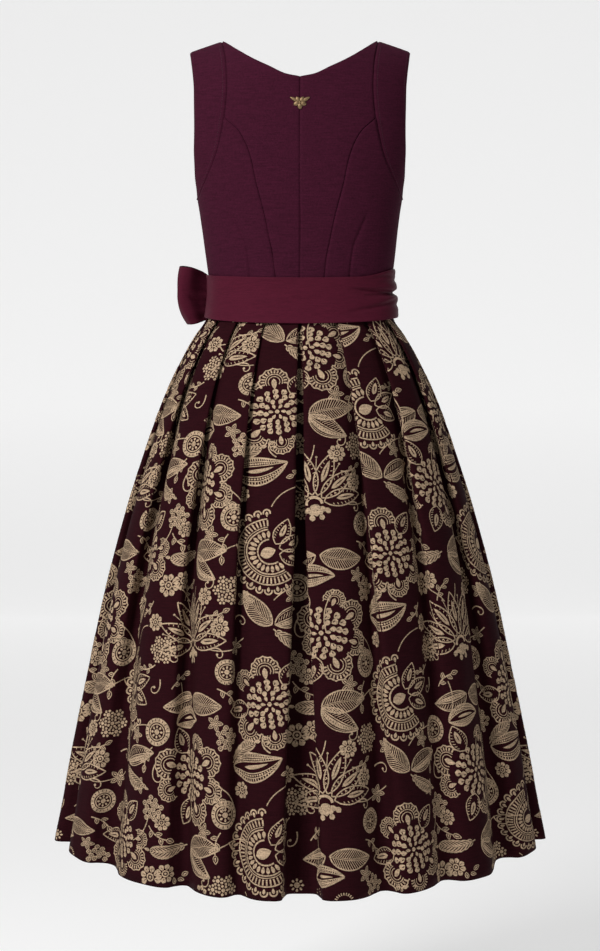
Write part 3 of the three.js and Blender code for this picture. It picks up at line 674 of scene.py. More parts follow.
def rounded_section(points):
    """A closed smooth curve through each row's points, FINE steps to each stretch: cubics whose
    tangents come from knots spaced by the root of each chord, which never loop at a sharp fold."""
    p0, p1, p2, p3 = (np.roll(points, shift, axis=1) for shift in (1, 0, -1, -2))
    pairs = ((p0, p1), (p1, p2), (p2, p3))
    a, b, c = (np.sqrt(np.linalg.norm(q - p, axis=-1, keepdims=True)) for p, q in pairs)
    start = ((p1 - p0) / a - (p2 - p0) / (a + b) + (p2 - p1) / b) * b
    end = ((p2 - p1) / b - (p3 - p1) / (b + c) + (p3 - p2) / c) * b
    t = (np.arange(FINE) / FINE)[None, None, :, None]
    p1, p2, start, end = (q[:, :, None] for q in (p1, p2, start, end))
    curve = (2 * t**3 - 3 * t**2 + 1) * p1 + (t**3 - 2 * t**2 + t) * start
    curve = curve + (3 * t**2 - 2 * t**3) * p2 + (t**3 - t**2) * end
    return curve.reshape(len(points), -1, 3)


# Soft lengthwise folds of the open skirt: middle angle, half width, height from and to as shares,
# and how far they stand out.
SOFT_FOLDS = np.array([
    (12, 4, 0.3, 1.0, 3.0), (30, 5, 0.4, 1.0, -3.5), (47, 4, 0.35, 0.9, 3.0),
    (52, 3.5, 0.5, 1.0, -2.5), (72, 5, 0.45, 1.0, 3.5), (96, 5, 0.3, 1.0, -3.0),
    (118, 6, 0.4, 1.0, 3.0), (140, 5, 0.35, 1.0, -3.0), (166, 6, 0.4, 1.0, 4.0),
    (175, 4, 0.5, 1.0, -3.5), (-10, 3.5, 0.35, 1.0, 2.5), (-23, 3, 0.5, 1.0, -3.0),
    (-44, 6, 0.3, 1.0, 3.5), (-51, 3.5, 0.45, 1.0, -3.0), (-68, 5, 0.4, 1.0, 3.0),
    (-92, 5, 0.35, 1.0, -3.0), (-115, 6, 0.4, 1.0, 3.5), (-141, 5, 0.3, 1.0, -3.0),
    (-163, 5, 0.45, 1.0, 3.5), (-172, 4, 0.4, 1.0, -3.0),
], float)


def soft_folds(angle, share):
    """The sum of the SOFT_FOLDS: each a bell across its angle that grows in below its upper end."""
    wrapped = (angle[..., None] - SOFT_FOLDS[:, 0] + 180) % 360 - 180
    bell = np.exp(-((wrapped / SOFT_FOLDS[:, 1]) ** 2))
    grown = smoothstep(share[..., None], SOFT_FOLDS[:, 2] - 0.1, SOFT_FOLDS[:, 2] + 0.35)
    return (bell * grown * SOFT_FOLDS[:, 4]).sum(-1)


def skirt_points():
    """The skirt as rows of points down from the waist, round from the centre back over the right."""
    t = np.linspace(0, 1, SKIRT_LEVELS)
    share = 0.35 * t**2 + 0.65 * t
    z = lerp(WAIST_Z - SEAM_GAP, HEM_Z, share)[:, None]
    right, left = (half_section(FOLDS[side], share) for side in ("right", "left"))
    angle = np.concatenate([right[0], -left[0][:, 1:-1][:, ::-1]], axis=1)
    sunk = np.concatenate([right[1], left[1][:, 1:-1][:, ::-1]], axis=1)
    sunk = sunk - soft_folds(angle, np.broadcast_to(share[:, None], angle.shape))
    ring = skirt_ring(angle, z) - skirt_normal(angle, z) * sunk[..., None]
    turn = np.radians(angle)
    drop = HEM_DROP * np.cos(turn) ** 2 - HEM_RISE * smoothstep(np.abs(np.sin(turn)), 0.75, 0.95)
    ring[..., 2] -= smoothstep(share, 0.9, 1)[:, None] * drop
    return rounded_section(ring)


def fabric_coordinates(points):
    """Where each place of the skirt lies on its cloth, in mm: u along the weft and v down the warp.
    On the face of a pleat u is the true distance from its middle. The cloth that the narrower waist
    has no room for is counted in the turned-under layers."""
    columns = points.shape[1]
    right_anchors = [len(CENTRE_PLEAT) + len(PLEAT) * k + 2 for k in range(7)]
    anchors = [0] + right_anchors + [columns // FINE // 2]
    anchors += [columns // FINE - k for k in reversed(right_anchors)] + [columns // FINE]
    anchors = np.array(anchors) * FINE
    closed = np.concatenate([points, points[:, :1]], axis=1)
    run = arc(closed, 1)
    u = np.zeros_like(run)
    start = 0.0
    for first, last in zip(anchors[:-1], anchors[1:]):
        true = run[:, first : last + 1] - run[:, first : first + 1]
        cloth = true[-1, -1]
        spare = cloth - true[:, -1]
        share = true / true[:, -1:]
        hidden = smoothstep(share, 0.42, 0.8)
        u[:, first : last + 1] = start + true + spare[:, None] * hidden
        start += cloth
    v = arc(skirt_ring(np.full(len(points), 45.0), points[:, 0, 2])[:, None], 0)
    return u, np.broadcast_to(v, u.shape), start


class Cloth:
    """The skirt's cloth laid out flat: positions and normals on an even grid of u and v."""

    def __init__(self, points):
        self.u, v, self.width = fabric_coordinates(points)
        self.v = v[:, 0]
        self.step = 1.5
        self.count = int(self.width / self.step) + 1
        at = np.arange(self.count) * self.step
        closed = np.concatenate([points, points[:, :1]], axis=1)
        column = np.stack([np.interp(at, row, np.arange(len(row))) for row in self.u])
        low = np.minimum(column.astype(int), closed.shape[1] - 2)
        part = (column - low)[..., None]
        rows = np.arange(len(closed))[:, None]
        self.place = lerp(closed[rows, low], closed[rows, low + 1], part)
        down, along = np.gradient(self.place, axis=0), np.gradient(self.place, axis=1)
        self.normal = unit(np.cross(down, along))

    def lay(self, uv, relief):
        """Points of the flat cloth on the worn skirt, standing out by relief."""
        i = np.interp(uv[..., 1], self.v, np.arange(len(self.v)))
        j = np.clip(uv[..., 0] % self.width / self.step, 0, self.count - 1.001)
        i = np.minimum(i, len(self.v) - 1.001)
        a, b = i.astype(int), j.astype(int)
        s, t = (i - a)[..., None], (j - b)[..., None]

        def mixed(grid):
            return lerp(lerp(grid[a, b], grid[a, b + 1], t), lerp(grid[a + 1, b], grid[a + 1, b + 1], t), s)

        return mixed(self.place) + unit(mixed(self.normal)) * relief


# The woven figure: every motif is a list of strokes, and a stroke is a middle line with a width

CREAM, DARK = 0, 1
BOTH = (1, -1)
FULL_TURN = 2 * np.pi
LEAF_POINTS = 17
SUNFLOWER_TURN = 2.39996


def polar(centre, radius, angle):
    """The place at a distance and a turn from a centre."""
    return np.asarray(centre, float) + radius * np.stack([np.cos(angle), np.sin(angle)], -1)


def stroke(line, width, layer=CREAM):
    """A stroke: its middle line, its width at each point and its layer."""
    line = np.asarray(line, float)
    return line, np.broadcast_to(np.asarray(width, float), (len(line),)).copy(), layer


def turned(base, angle, length, curl, count):
    """A middle line whose direction turns evenly by curl over its length, and its directions."""
    turn = angle + curl * np.linspace(0, 1, count)
    steps = np.stack([np.cos(turn), np.sin(turn)], -1) * length / (count - 1)
    middle = 0.5 * (steps[1:] + steps[:-1])
    return np.asarray(base, float) + np.r_[[[0.0, 0.0]], np.cumsum(middle, axis=0)], turn


def petal(base, angle, length, width, count=7, blunt=0.75, layer=CREAM, curl=0.0):
    """A filled petal whose width swells as a sine of the length and closes at both ends."""
    line, _ = turned(base, angle, length, curl, count)
    profile = np.maximum(np.sin(np.pi * np.linspace(0, 1, count) ** blunt), 0) ** 0.6
    return stroke(line, np.maximum(width * profile, 0.05), layer)


def arc_stroke(centre, radius, start, end, width, count=13, layer=CREAM):
    """Part of a ring."""
    return stroke(polar(centre, radius, np.linspace(start, end, count)), width, layer)


def hoop(centre, radius, width, count, layer=CREAM):
    """A whole ring."""
    return arc_stroke(centre, radius, 0, FULL_TURN, width, count, layer)


def dot(centre, radius, layer=CREAM):
    """A filled dot, as a short stroke with a round profile."""
    t = np.linspace(-1, 1, 5)
    line = np.asarray(centre, float) + np.stack([t * radius, 0 * t], -1)
    return stroke(line, 2 * radius * np.sqrt(np.maximum(1 - t**2, 0.02)), layer)


def dash(centre, angle, length, width, layer=CREAM):
    """A short straight stroke."""
    ends = np.array([[-0.5], [0.5]]) * [math.cos(angle), math.sin(angle)]
    return stroke(np.asarray(centre, float) + length * ends, width, layer)


def leaf_form(base, angle, length, width, curl, count=LEAF_POINTS):
    """A leaf's midrib, its side directions and the reach of its edges, which swell as a sine."""
    middle, turn = turned(base, angle, length, curl, count)
    side = np.stack([-np.sin(turn), np.cos(turn)], -1)
    reach = 0.5 * width * np.maximum(np.sin(np.pi * np.linspace(0, 1, count) ** 0.8), 0) ** 0.85
    return middle, side, reach


def leaf_at(leaf, k):
    """A leaf's midrib, side direction and reach at a place between its points."""
    columns = np.column_stack(leaf).T
    values = [np.interp(k, np.arange(columns.shape[1]), column) for column in columns]
    return np.array(values[:2]), np.array(values[2:4]), values[4]


def leaf_edges(leaf, width, share=1.0):
    """Both edges of a leaf, drawn at a share of its reach."""
    middle, side, reach = leaf
    return [stroke(middle + side * (s * share * reach)[:, None], width) for s in BOTH]


def outlined_petal(base, angle, length, width, line=1.7, curl=0.0):
    """A pointed petal: two edges, a row of short dashes inside each, and a solid heart with a slit."""
    leaf = leaf_form(base, angle, length, width, curl, 11)
    middle, side, reach = leaf
    strokes = leaf_edges(leaf, line)
    strokes.append(petal(middle[3], angle + curl * 0.3, length * 0.5, width * 0.34, curl=curl * 0.5))
    slit_turn = angle + curl * 0.4
    strokes.append(petal(middle[4], slit_turn, length * 0.28, width * 0.07, 5, 1.0, DARK, curl * 0.3))
    for k in range(2, 9):
        for s in BOTH:
            at = middle[k] + side[k] * s * reach[k] * 0.68
            strokes.append(dash(at, angle + curl * k / 10 + s * 1.1, max(reach[k] * 0.3, 1.2), 1.1))
    return strokes


def hatched_leaf(base, angle, length, width, curl):
    """An outlined leaf with a double midrib and close slanting hatches."""
    leaf = leaf_form(base, angle, length, width, curl)
    middle, side, _ = leaf
    strokes = leaf_edges(leaf, 1.9)
    strokes += [stroke(middle[:-1] + side[:-1] * s * 0.9, 0.9) for s in BOTH]
    for k in np.linspace(1.2, 13.8, 17):
        foot, _, _ = leaf_at(leaf, k)
        head, out, far = leaf_at(leaf, k + 1.8)
        for s in BOTH:
            strokes.append(stroke([foot + out * s * 1.6, head + out * s * (far - 0.8)], 1.05))
    return strokes


def solid_leaf(base, angle, length, width, curl):
    """A leaf with one hatched half and one filled half, which has a row of dark flecks, between
    edges that are drawn twice."""
    leaf = leaf_form(base, angle, length, width, curl)
    middle, side, reach = leaf
    strokes = leaf_edges(leaf, 1.5) + leaf_edges(leaf, 0.8, 0.8)
    strokes.append(stroke(middle, 1.5))
    strokes.append(stroke(middle + side * (0.4 * reach)[:, None], np.maximum(reach * 0.5, 0.1)))
    for k in np.linspace(2, 14, 13):
        at, out, far = leaf_at(leaf, k)
        turn = angle + curl * k / 16
        strokes.append(dash(at + out * far * 0.4, turn + 0.7, 2.4, 0.8, DARK))
        strokes.append(dash(at - out * far * 0.42, turn - 0.9, far * 0.62, 0.9))
    return strokes


def feather_leaf(base, angle, length, width, curl):
    """A midrib between outlined lobes that get shorter towards the tip, each with a rib."""
    middle, _, reach = leaf_form(base, angle, length, width, curl, 12)
    turn = angle + curl * np.linspace(0, 1, 12)
    strokes = [stroke(middle, 1.9)]
    for k in range(1, 11):
        size = max(reach[k] * 1.35, width * 0.18)
        for s in BOTH:
            lean = turn[k] + s * 0.8
            strokes.append(petal(middle[k], lean, size, width * 0.185, 6, 0.9, curl=-s * 0.5))
            strokes.append(petal(middle[k], lean, size * 0.8, width * 0.05, 5, 0.9, DARK, -s * 0.4))
    strokes.append(petal(middle[-1], turn[-1], width * 0.35, width * 0.17, 5))
    return strokes


def plume(base, angle, length, width, curl):
    """A paisley: nested drops, with a ring of dashes between the outer two and beads inside."""
    leaf = leaf_form(base, angle, length, width, curl)
    strokes = leaf_edges(leaf, 2.2) + leaf_edges(leaf, 1.5, 0.72) + leaf_edges(leaf, 1.4, 0.4)
    for k in np.linspace(1.4, 14.6, 20):
        at, out, far = leaf_at(leaf, k)
        for s in BOTH:
            across = math.atan2(s * out[1], s * out[0])
            strokes.append(dash(at + out * s * far * 0.86, across, far * 0.18, 1.5))
            strokes.append(dot(at + out * s * far * 0.56, min(far * 0.08, 1.4)))
    strokes.append(petal(leaf[0][4], angle + curl * 0.3, length * 0.5, width * 0.14, curl=curl * 0.5))
    return strokes


def small_leaf(base, angle, length):
    """A little outlined leaf with a solid heart."""
    leaf = leaf_form(base, angle, length, length * 0.56, 0.2, 7)
    return leaf_edges(leaf, 1.2) + [petal(leaf[0][1], angle + 0.1, length * 0.6, length * 0.2, 5)]


def rosette(centre, radius):
    """Eight round petals, each with a slit, about a dark eye with a dot."""
    strokes = [hoop(centre, radius * 0.3, radius * 0.14, 11), dot(centre, radius * 0.12)]
    for k in range(8):
        a = FULL_TURN * k / 8 + 0.2
        strokes.append(petal(polar(centre, radius * 0.4, a), a, radius * 0.6, radius * 0.55, 6, 1.25))
        strokes.append(dash(polar(centre, radius * 0.62, a), a, radius * 0.24, radius * 0.05, DARK))
    return strokes


def medallion(centre, radius):
    """A little flower inside a thin ring inside a broad ring with dark ticks."""
    strokes = [dot(centre, radius * 0.2)]
    for k in range(8):
        a = FULL_TURN * k / 8
        strokes.append(petal(polar(centre, radius * 0.24, a), a, radius * 0.24, radius * 0.17, 5, 1.2))
    strokes.append(hoop(centre, radius * 0.57, radius * 0.08, 19))
    strokes.append(hoop(centre, radius * 0.84, radius * 0.3, 21))
    for k in range(18):
        a = FULL_TURN * k / 18
        strokes.append(dash(polar(centre, radius * 0.84, a), a, radius * 0.17, radius * 0.06, DARK))
    return strokes


def cluster(centre, radius):
    """Berries packed in a disc in a sunflower's spiral, each with a dark eye."""
    strokes = []
    for k in range(16):
        at = polar(centre, radius * 0.86 * math.sqrt((k + 0.35) / 16), SUNFLOWER_TURN * k)
        strokes.append(dot(at, radius * 0.2))
        strokes.append(hoop(at, radius * 0.1, radius * 0.045, 7, DARK))
    return strokes


def berry_flower(centre, radius):
    """Six little flowers of seven petals in a ring about a seventh."""
    strokes = []
    for k in range(7):
        at = polar(centre, radius * 0.64 * (k > 0), FULL_TURN * k / 6)
        strokes.append(dot(at, radius * 0.12))
        for j in range(7):
            a = FULL_TURN * j / 7 + k
            strokes.append(petal(polar(at, radius * 0.15, a), a, radius * 0.19, radius * 0.17, 5, 1.3))
    return strokes


def blossom(centre, radius):
    """Five pointed outlined petals about a solid eye."""
    strokes = [dot(centre, radius * 0.2), hoop(centre, radius * 0.12, radius * 0.05, 7, DARK)]
    for k in range(5):
        a = FULL_TURN * k / 5
        strokes += small_leaf(polar(centre, radius * 0.2, a), a - 0.1, radius * 0.8)
    return strokes


def tendril(base, angle, size, hand):
    """A curl whose turn tightens towards its end, with a bead there."""
    t = np.linspace(0, 1, 17)
    turn = angle + hand * (0.9 * t + 4.6 * t**2.6)
    steps = np.stack([np.cos(turn), np.sin(turn)], -1) * size * 1.9 / 16
    line = np.asarray(base) + np.r_[[[0.0, 0.0]], np.cumsum(0.5 * (steps[1:] + steps[:-1]), axis=0)]
    return [stroke(line, 2.1 - 0.9 * t), dot(line[-1], 1.9)]


def sprig(base, angle, size, curl):
    """A curved stem with small outlined leaves along it and one at its end."""
    line, turn = turned(base, angle, size, curl, 9)
    strokes = [stroke(line, 1.7)]
    for k, s in ((2, 1), (4, -1), (6, 1)):
        strokes += small_leaf(line[k], turn[k] + s * 0.9, size * 0.3)
    return strokes + small_leaf(line[-1], turn[-1], size * 0.36)


def shell_lobe(centre, radius, angle):
    """A scallop of a large flower: a wavy rim, a ring of dashes, an arch and a drop at its root."""
    rim = np.linspace(-2.0, 2.0, 25)
    wavy = radius * (1 + 0.05 * np.cos(12 * rim))[:, None]
    strokes = [
        stroke(polar(centre, wavy, angle + rim), radius * 0.1),
        arc_stroke(centre, radius * 0.6, angle - 2.0, angle + 2.0, radius * 0.07, 11),
        arc_stroke(centre, radius * 0.42, angle - 2.2, angle + 2.2, radius * 0.06, 9),
        petal(polar(centre, -radius * 0.6, angle), angle, radius * 0.84, radius * 0.4, 6, 1.3),
    ]
    for a in angle + np.linspace(-1.8, 1.8, 14):
        strokes.append(dash(polar(centre, radius * 0.79, a), a, radius * 0.24, radius * 0.11))
    return strokes


def flower_head(centre, radius, angle):
    """A large round flower: a middle of scales that point outwards, row upon row, shell lobes round
    it and two pointed petals between them."""
    strokes = [dot(centre, radius * 0.05)]
    for row, count, size in ((0.08, 6, 0.12), (0.18, 9, 0.14), (0.29, 12, 0.15), (0.41, 16, 0.15)):
        for k in range(count):
            a = angle + FULL_TURN * (k + 0.5 * (count % 4 > 1)) / count
            at = polar(centre, radius * row, a)
            strokes.append(petal(at, a + 0.25, radius * size, radius * (5.6 * row / count), 6, 1.35))
            if row > 0.2:
                heart = polar(centre, radius * (row + 0.06), a)
                strokes.append(dash(heart, a + 0.25, radius * 0.05, radius * 0.022, DARK))
    for k in range(8):
        a = angle + FULL_TURN * (k + 0.12 * math.sin(2.3 * k)) / 8
        if k in (2, 5):
            foot = polar(centre, radius * 0.52, a)
            strokes += outlined_petal(foot, a, radius * 0.6, radius * 0.4, 1.6, 0.3)
        else:
            size = radius * (0.27 + 0.05 * math.sin(1.9 * k))
            strokes += shell_lobe(polar(centre, radius * 0.74, a), size, a)
    return strokes


def fan(centre, radius, angle):
    """A half-round shell of bands: a drop at its root, petals, arcs, dashes and a scalloped edge,
    with three outlined petals behind the root."""
    spread = 1.85
    foot = polar(centre, -radius * 0.12, angle)
    strokes = [petal(foot, angle, radius * 0.34, radius * 0.24, 8, 1.2)]
    for k in (-1, 0, 1):
        a = angle + np.pi + 0.62 * k
        size = radius * (0.66 - 0.06 * abs(k))
        strokes += outlined_petal(polar(centre, radius * 0.2, a), a, size, radius * 0.34, 1.6, 0.3 * k)
    for r, w, n in ((0.27, 0.035, 15), (0.49, 0.03, 19), (0.54, 0.02, 19), (0.72, 0.03, 23)):
        strokes.append(arc_stroke(centre, radius * r, angle - spread, angle + spread, radius * w, n))
    for a in angle + np.linspace(-spread, spread, 15):
        strokes.append(petal(polar(centre, radius * 0.3, a), a, radius * 0.16, radius * 0.08, 6, 1.2))
    for a in angle + np.linspace(-spread, spread, 31):
        strokes.append(dash(polar(centre, radius * 0.63, a), a, radius * 0.13, radius * 0.035))
    for a in angle + np.linspace(-spread, spread, 17):
        scallop = polar(centre, radius * 0.85, a)
        strokes.append(arc_stroke(scallop, radius * 0.075, a - 1.9, a + 1.9, radius * 0.035, 9))
        strokes.append(petal(polar(centre, radius * 0.76, a), a, radius * 0.12, radius * 0.07, 5, 1.35))
    return strokes


def lotus(centre, radius, angle):
    """An open blossom from the side: seven outlined petals in a fan, with fine stamens between them,
    over a cup of scales."""
    strokes = []
    for k, share in ((-3, 0.86), (-2, 0.98), (-1, 1.0), (0, 0.94), (1, 1.02), (2, 0.95), (3, 0.88)):
        a = angle + k * 0.47
        foot = polar(centre, radius * 0.17, a)
        strokes += outlined_petal(foot, a, radius * share * 0.83, radius * 0.3, 1.8, 0.1 * k)
        if k < 3:
            tip = polar(centre, radius * 0.86, a + 0.235)
            strokes.append(stroke([polar(centre, radius * 0.6, a + 0.235), tip], 1.0))
            strokes.append(dot(tip, 1.6))
    strokes.append(arc_stroke(centre, radius * 0.13, angle - 1.6, angle + 1.6, radius * 0.05, 9))
    for r, n in ((0.0, 4), (0.1, 5), (0.19, 4)):
        for a in np.linspace(-1.1, 1.1, n):
            scale = polar(centre, -radius * r, angle + a)
            strokes.append(petal(scale, angle + np.pi + a * 0.5, radius * 0.12, radius * 0.1, 5, 1.2))
    return strokes


REPEAT_WIDTH, REPEAT_HEIGHT = 280.0, 415.0
REPEATS = 8

# The motifs of one repeat, each with its function, its place in mm of cloth, and then for a large
# one its size and the way it points.
LARGE = (
    (flower_head, (64, 66), 66, 0.3),
    (fan, (206, 160), 65, 2.75),
    (lotus, (62, 300), 80, -1.72),
    (flower_head, (208, 372), 62, 1.4),
)
# For a leaf, the way it points, its length, width and curl.
LEAVES = (
    (hatched_leaf, (62, 168), -0.35, 66, 31, 0.45),
    (solid_leaf, (62, 170), 0.75, 60, 28, -0.4),
    (feather_leaf, (50, 166), 2.75, 58, 28, 0.5),
    (plume, (150, 46), 0.15, 78, 40, -0.7),
    (feather_leaf, (148, 42), -0.9, 52, 24, 0.5),
    (hatched_leaf, (210, 262), -2.5, 60, 28, 0.4),
    (solid_leaf, (214, 262), -0.5, 62, 28, 0.4),
    (feather_leaf, (212, 268), 0.75, 54, 25, -0.5),
    (solid_leaf, (60, 372), 2.7, 58, 27, 0.4),
    (hatched_leaf, (66, 372), 0.3, 62, 30, -0.4),
    (plume, (26, 410), -0.5, 60, 30, 0.7),
)
# For a small motif, its radius.
SMALL = (
    (medallion, (134, 112), 20),
    (berry_flower, (132, 216), 23),
    (medallion, (134, 330), 18),
    (cluster, (136, 8), 19),
    (berry_flower, (276, 98), 22),
    (medallion, (276, 214), 20),
    (cluster, (274, 322), 19),
    (rosette, (276, 6), 17),
    (rosette, (122, 268), 14),
    (rosette, (260, 60), 13),
    (blossom, (100, 138), 13),
    (blossom, (172, 230), 13),
    (blossom, (152, 296), 13),
    (blossom, (118, 402), 12),
    (blossom, (238, 222), 12),
    (rosette, (18, 206), 14),
    (rosette, (96, 226), 13),
    (rosette, (10, 132), 12),
    (blossom, (250, 292), 12),
    (rosette, (164, 80), 12),
)
# Stems, curls and sprigs: the foot, the way it points, the length, and the curl or its hand.
STEMS = (
    ((84, 6), 2.3, 62, -1.0), ((112, 66), 0.35, 60, 0.9), ((178, 150), -2.9, 62, -0.9),
    ((66, 214), 1.7, 52, 0.7), ((108, 300), 0.2, 66, -0.9), ((212, 228), -0.9, 58, 1.0),
    ((242, 372), -0.5, 46, -0.9), ((30, 352), 1.2, 50, 0.8), ((206, 96), -1.2, 52, 1.1),
    ((40, 238), -2.2, 48, -0.8),
)
CURLS = (
    ((104, 190), 0.9, 24, 1), ((20, 300), 2.6, 22, -1), ((106, 300), -0.4, 22, 1),
    ((276, 140), 1.4, 22, 1), ((140, 150), 1.2, 24, -1), ((210, 24), -2.6, 22, 1),
    ((276, 260), 2.0, 24, -1), ((150, 258), -0.6, 22, 1),
)
SPRIGS = (
    ((118, 80), 1.2, 30, -0.8), ((128, 136), 2.2, 34, -0.8), ((266, 120), 2.4, 26, 0.8),
    ((28, 236), -1.4, 30, 0.8), ((120, 354), 0.2, 32, 0.8), ((270, 346), 1.0, 34, -0.8),
    ((270, 236), 2.4, 30, -0.8), ((14, 360), -1.1, 30, 0.8), ((100, 252), 0.2, 28, -0.8),
    ((252, 30), 1.9, 28, 0.8),
)


def repeat_strokes():
    """All strokes of one repeat."""
    strokes = []
    for motif, *sizes in LARGE + LEAVES + SMALL:
        strokes += motif(*sizes)
    for foot, angle, length, curl in STEMS:
        strokes.append(stroke(turned(foot, angle, length, curl, 11)[0], 1.5))
    for coil in CURLS:
        strokes += tendril(*coil)
    for branch in SPRIGS:
        strokes += sprig(*branch)
    return strokes


# The longest face of a strip, in mm.
FACE = 4.5


def stroke_grids(strokes, stretch, layer):
    """The strokes of one layer as grids of points across and along, grouped by size. A long or broad
    stroke gets enough points to bend with the cloth."""
    groups = {}
    for line, width, on in strokes:
        if on != layer:
            continue
        line = line * stretch
        run = np.r_[0, np.cumsum(np.linalg.norm(np.diff(line, axis=0), axis=1))]
        if np.diff(run).max() > FACE:
            at = np.linspace(0, run[-1], max(int(run[-1] / FACE) + 2, len(run)))
            width = np.interp(at, run, width)
            line = np.stack([np.interp(at, run, line[:, k]) for k in (0, 1)], -1)
        direction = unit(np.gradient(line, axis=0))
        side = np.stack([-direction[:, 1], direction[:, 0]], -1) * width[:, None] / 2
        across = np.linspace(-1, 1, 2 + int(width.max() / FACE))
        grid = line[:, None] + across[None, :, None] * side[:, None]
        groups.setdefault(grid.shape[:2], []).append(grid)
    return {shape: np.stack(grids) for shape, grids in groups.items()}


def figure_mesh(name, cloth, relief, layer, low, high, material):
    """One layer of the figure between two places of u on the cloth, as one mesh of strips that lie
    on the skirt. Repeats stand side by side, every other one dropped by half."""
    width = cloth.width / REPEATS
    grids = stroke_grids(repeat_strokes(), np.array([width / REPEAT_WIDTH, 1.0]), layer)
    rows = int(cloth.v[-1] // REPEAT_HEIGHT) + 2
    points, faces, total = [], [], 0
    for (n, m), grid in grids.items():
        copies = []
        for i in range(-1, rows):
            for j in range(int(low // width) - 1, int(high // width) + 2):
                copies.append(grid + np.array([j * width, (i + 0.5 * (j % 2)) * REPEAT_HEIGHT]))
        flat = np.concatenate(copies)
        middle = flat.mean(axis=(1, 2))
        inside = (middle[:, 0] >= low) & (middle[:, 0] < high)
        inside &= (flat[..., 1].min(axis=(1, 2)) > 1) & (flat[..., 1].max(axis=(1, 2)) < cloth.v[-1] - 1)
        flat = flat[inside]
        points.append(cloth.lay(flat, relief).reshape(-1, 3))
        offset = total + np.arange(len(flat))[:, None, None] * n * m
        faces.append((grid_faces(n, m)[None] + offset).reshape(-1, 4))
        total += len(flat) * n * m
    return make_mesh(name, np.concatenate(points), np.concatenate(faces), material)


class DIRNDL_OT_skirt(bpy.types.Operator):
    """Builds the pleated skirt's back and front with the figure woven into them"""

    bl_idname = "dirndl.skirt"
    bl_label = "Skirt"

    def execute(self, context):
        settings = context.scene.dirndl
        ground = two_toned(
            "aubergine_ground", settings.ground_colour, 0.85, 1.2, 0.9, 0.15, (700, 700, 700), 0.4
        )
        cream = two_toned(
            "cream_figure", settings.figure_colour, 0.6, 1.08, 0.85, 0.1, (520, 520, 380), 0.5
        )
        points = skirt_points()
        cloth = Cloth(points)
        columns = points.shape[1]
        right = SEAM_COLUMN * FINE
        left = columns - right
        closed = np.concatenate([points, points], axis=1)
        back_u = (cloth.u[-1, left] - cloth.width, cloth.u[-1, right])
        front_u = (cloth.u[-1, right], cloth.u[-1, left])
        for side, start, end, span in (
            ("back", left, columns + right, back_u),
            ("front", right, left, front_u),
        ):
            grid = closed[:, start : end + 1].copy()
            panel = make_mesh(f"skirt_{side}_panel", grid, grid_faces(*grid.shape[:2]), ground)
            thicken(panel, settings.skirt_wall)
            place(panel, "skirt_cloth", f"skirt_{side}")
            woven = []
            for label, layer, high, finish in (("figure", CREAM, 1, cream), ("veins", DARK, 1.6, ground)):
                relief = settings.figure_relief * high
                woven.append(figure_mesh(f"skirt_{side}_{label}", cloth, relief, layer, *span, finish))
                place(woven[-1], "skirt_cloth")
        return {"FINISHED"}


# Sash and bow

SASH_LOW, SASH_HIGH = -397.0, -335.0
LOW_DIP, HIGH_DIP, SASH_SIDE_RISE = 12.0, 7.5, 9.0
SASH_BULGE, BULGE_FOOT = 6.5, 0.15
SASH_ROWS, SASH_COLUMNS = 54, 440
# The sash's height along its curve, and the ridge of its turned edges.
SASH_HEIGHT, SASH_RIM = 63.0, 0.35
# Creases of the sash: angle from and to, height from and to as shares, depth in mm and width.
SASH_CREASES = np.array([
    (42, 128, 0.57, 0.5, 7.5, 0.05),
    (30, 84, 0.74, 0.53, 4.8, 0.04),
    (24, 88, 0.2, 0.44, 2.9, 0.05),
    (58, 120, 0.32, 0.24, 2.4, 0.06),
    (52, 126, 0.8, 0.76, 2.4, 0.05),
    (40, 96, 0.94, 0.86, 1.4, 0.04),
    (-60, -24, 0.6, 0.7, 0.8, 0.09),
    (-78, -36, 0.3, 0.38, 0.9, 0.08),
    (-122, -84, 0.62, 0.55, 1.6, 0.07),
    (-126, -92, 0.36, 0.4, 1.4, 0.07),
    (-186, -146, 0.6, 0.66, 1.4, 0.07),
    (-182, -148, 0.34, 0.3, 1.4, 0.07),
    (-14, 26, 0.42, 0.5, 0.7, 0.1),
    (150, 196, 0.66, 0.6, 1.0, 0.08),
], float)


def crease_share(angle):
    """Where the sash bulges on the right: in from 38 to 78 degrees and out again by 150."""
    return smoothstep(angle, 38, 78) * (1 - smoothstep(angle, 108, 150))


def sash_point(angle, up, fine=True):
    """The sash's ring at a height, with its dip at the back, the bulge on the right and, where fine
    is on, its creases: troughs along sloping lines."""
    bulge = crease_share(angle)
    dip = lerp(LOW_DIP, HIGH_DIP, up) * np.maximum(np.cos(np.radians(angle)), 0)
    z = lerp(SASH_LOW, SASH_HIGH, up) - dip + SASH_SIDE_RISE * bulge * up * up
    half, back, front = (through(SASH[:, 0], SASH[:, k], z) for k in (1, 2, 3))
    p = ring_point(angle, half, back, front, TORSO_SQUARENESS, z)
    out = SASH_BULGE * bulge * np.maximum(np.sin(np.pi * lerp(BULGE_FOOT, 1, up)), 0) ** 0.7
    if fine:
        start, end, low, high, depth, wide = SASH_CREASES.T
        for turn in (-360, 0, 360):
            t = np.clip((angle[..., None] + turn - start) / (end - start), 0, 1)
            trough = np.exp(-(((up[..., None] - lerp(low, high, t)) / wide) ** 2))
            out = out - (depth * np.maximum(np.sin(np.pi * t), 0) ** 0.8 * trough).sum(-1)
    n = np.stack([np.sin(np.radians(angle)), -np.cos(np.radians(angle)), 0 * angle], -1)
    return p + n * out[..., None]


KNOT = np.array([15.0, 9.0, 21.0])
KNOT_SQUARENESS = 0.72
KNOT_CLEAR = 0.5
SASH_WALL = 1.2
RIBBON_WALL = 0.8 * SASH_WALL
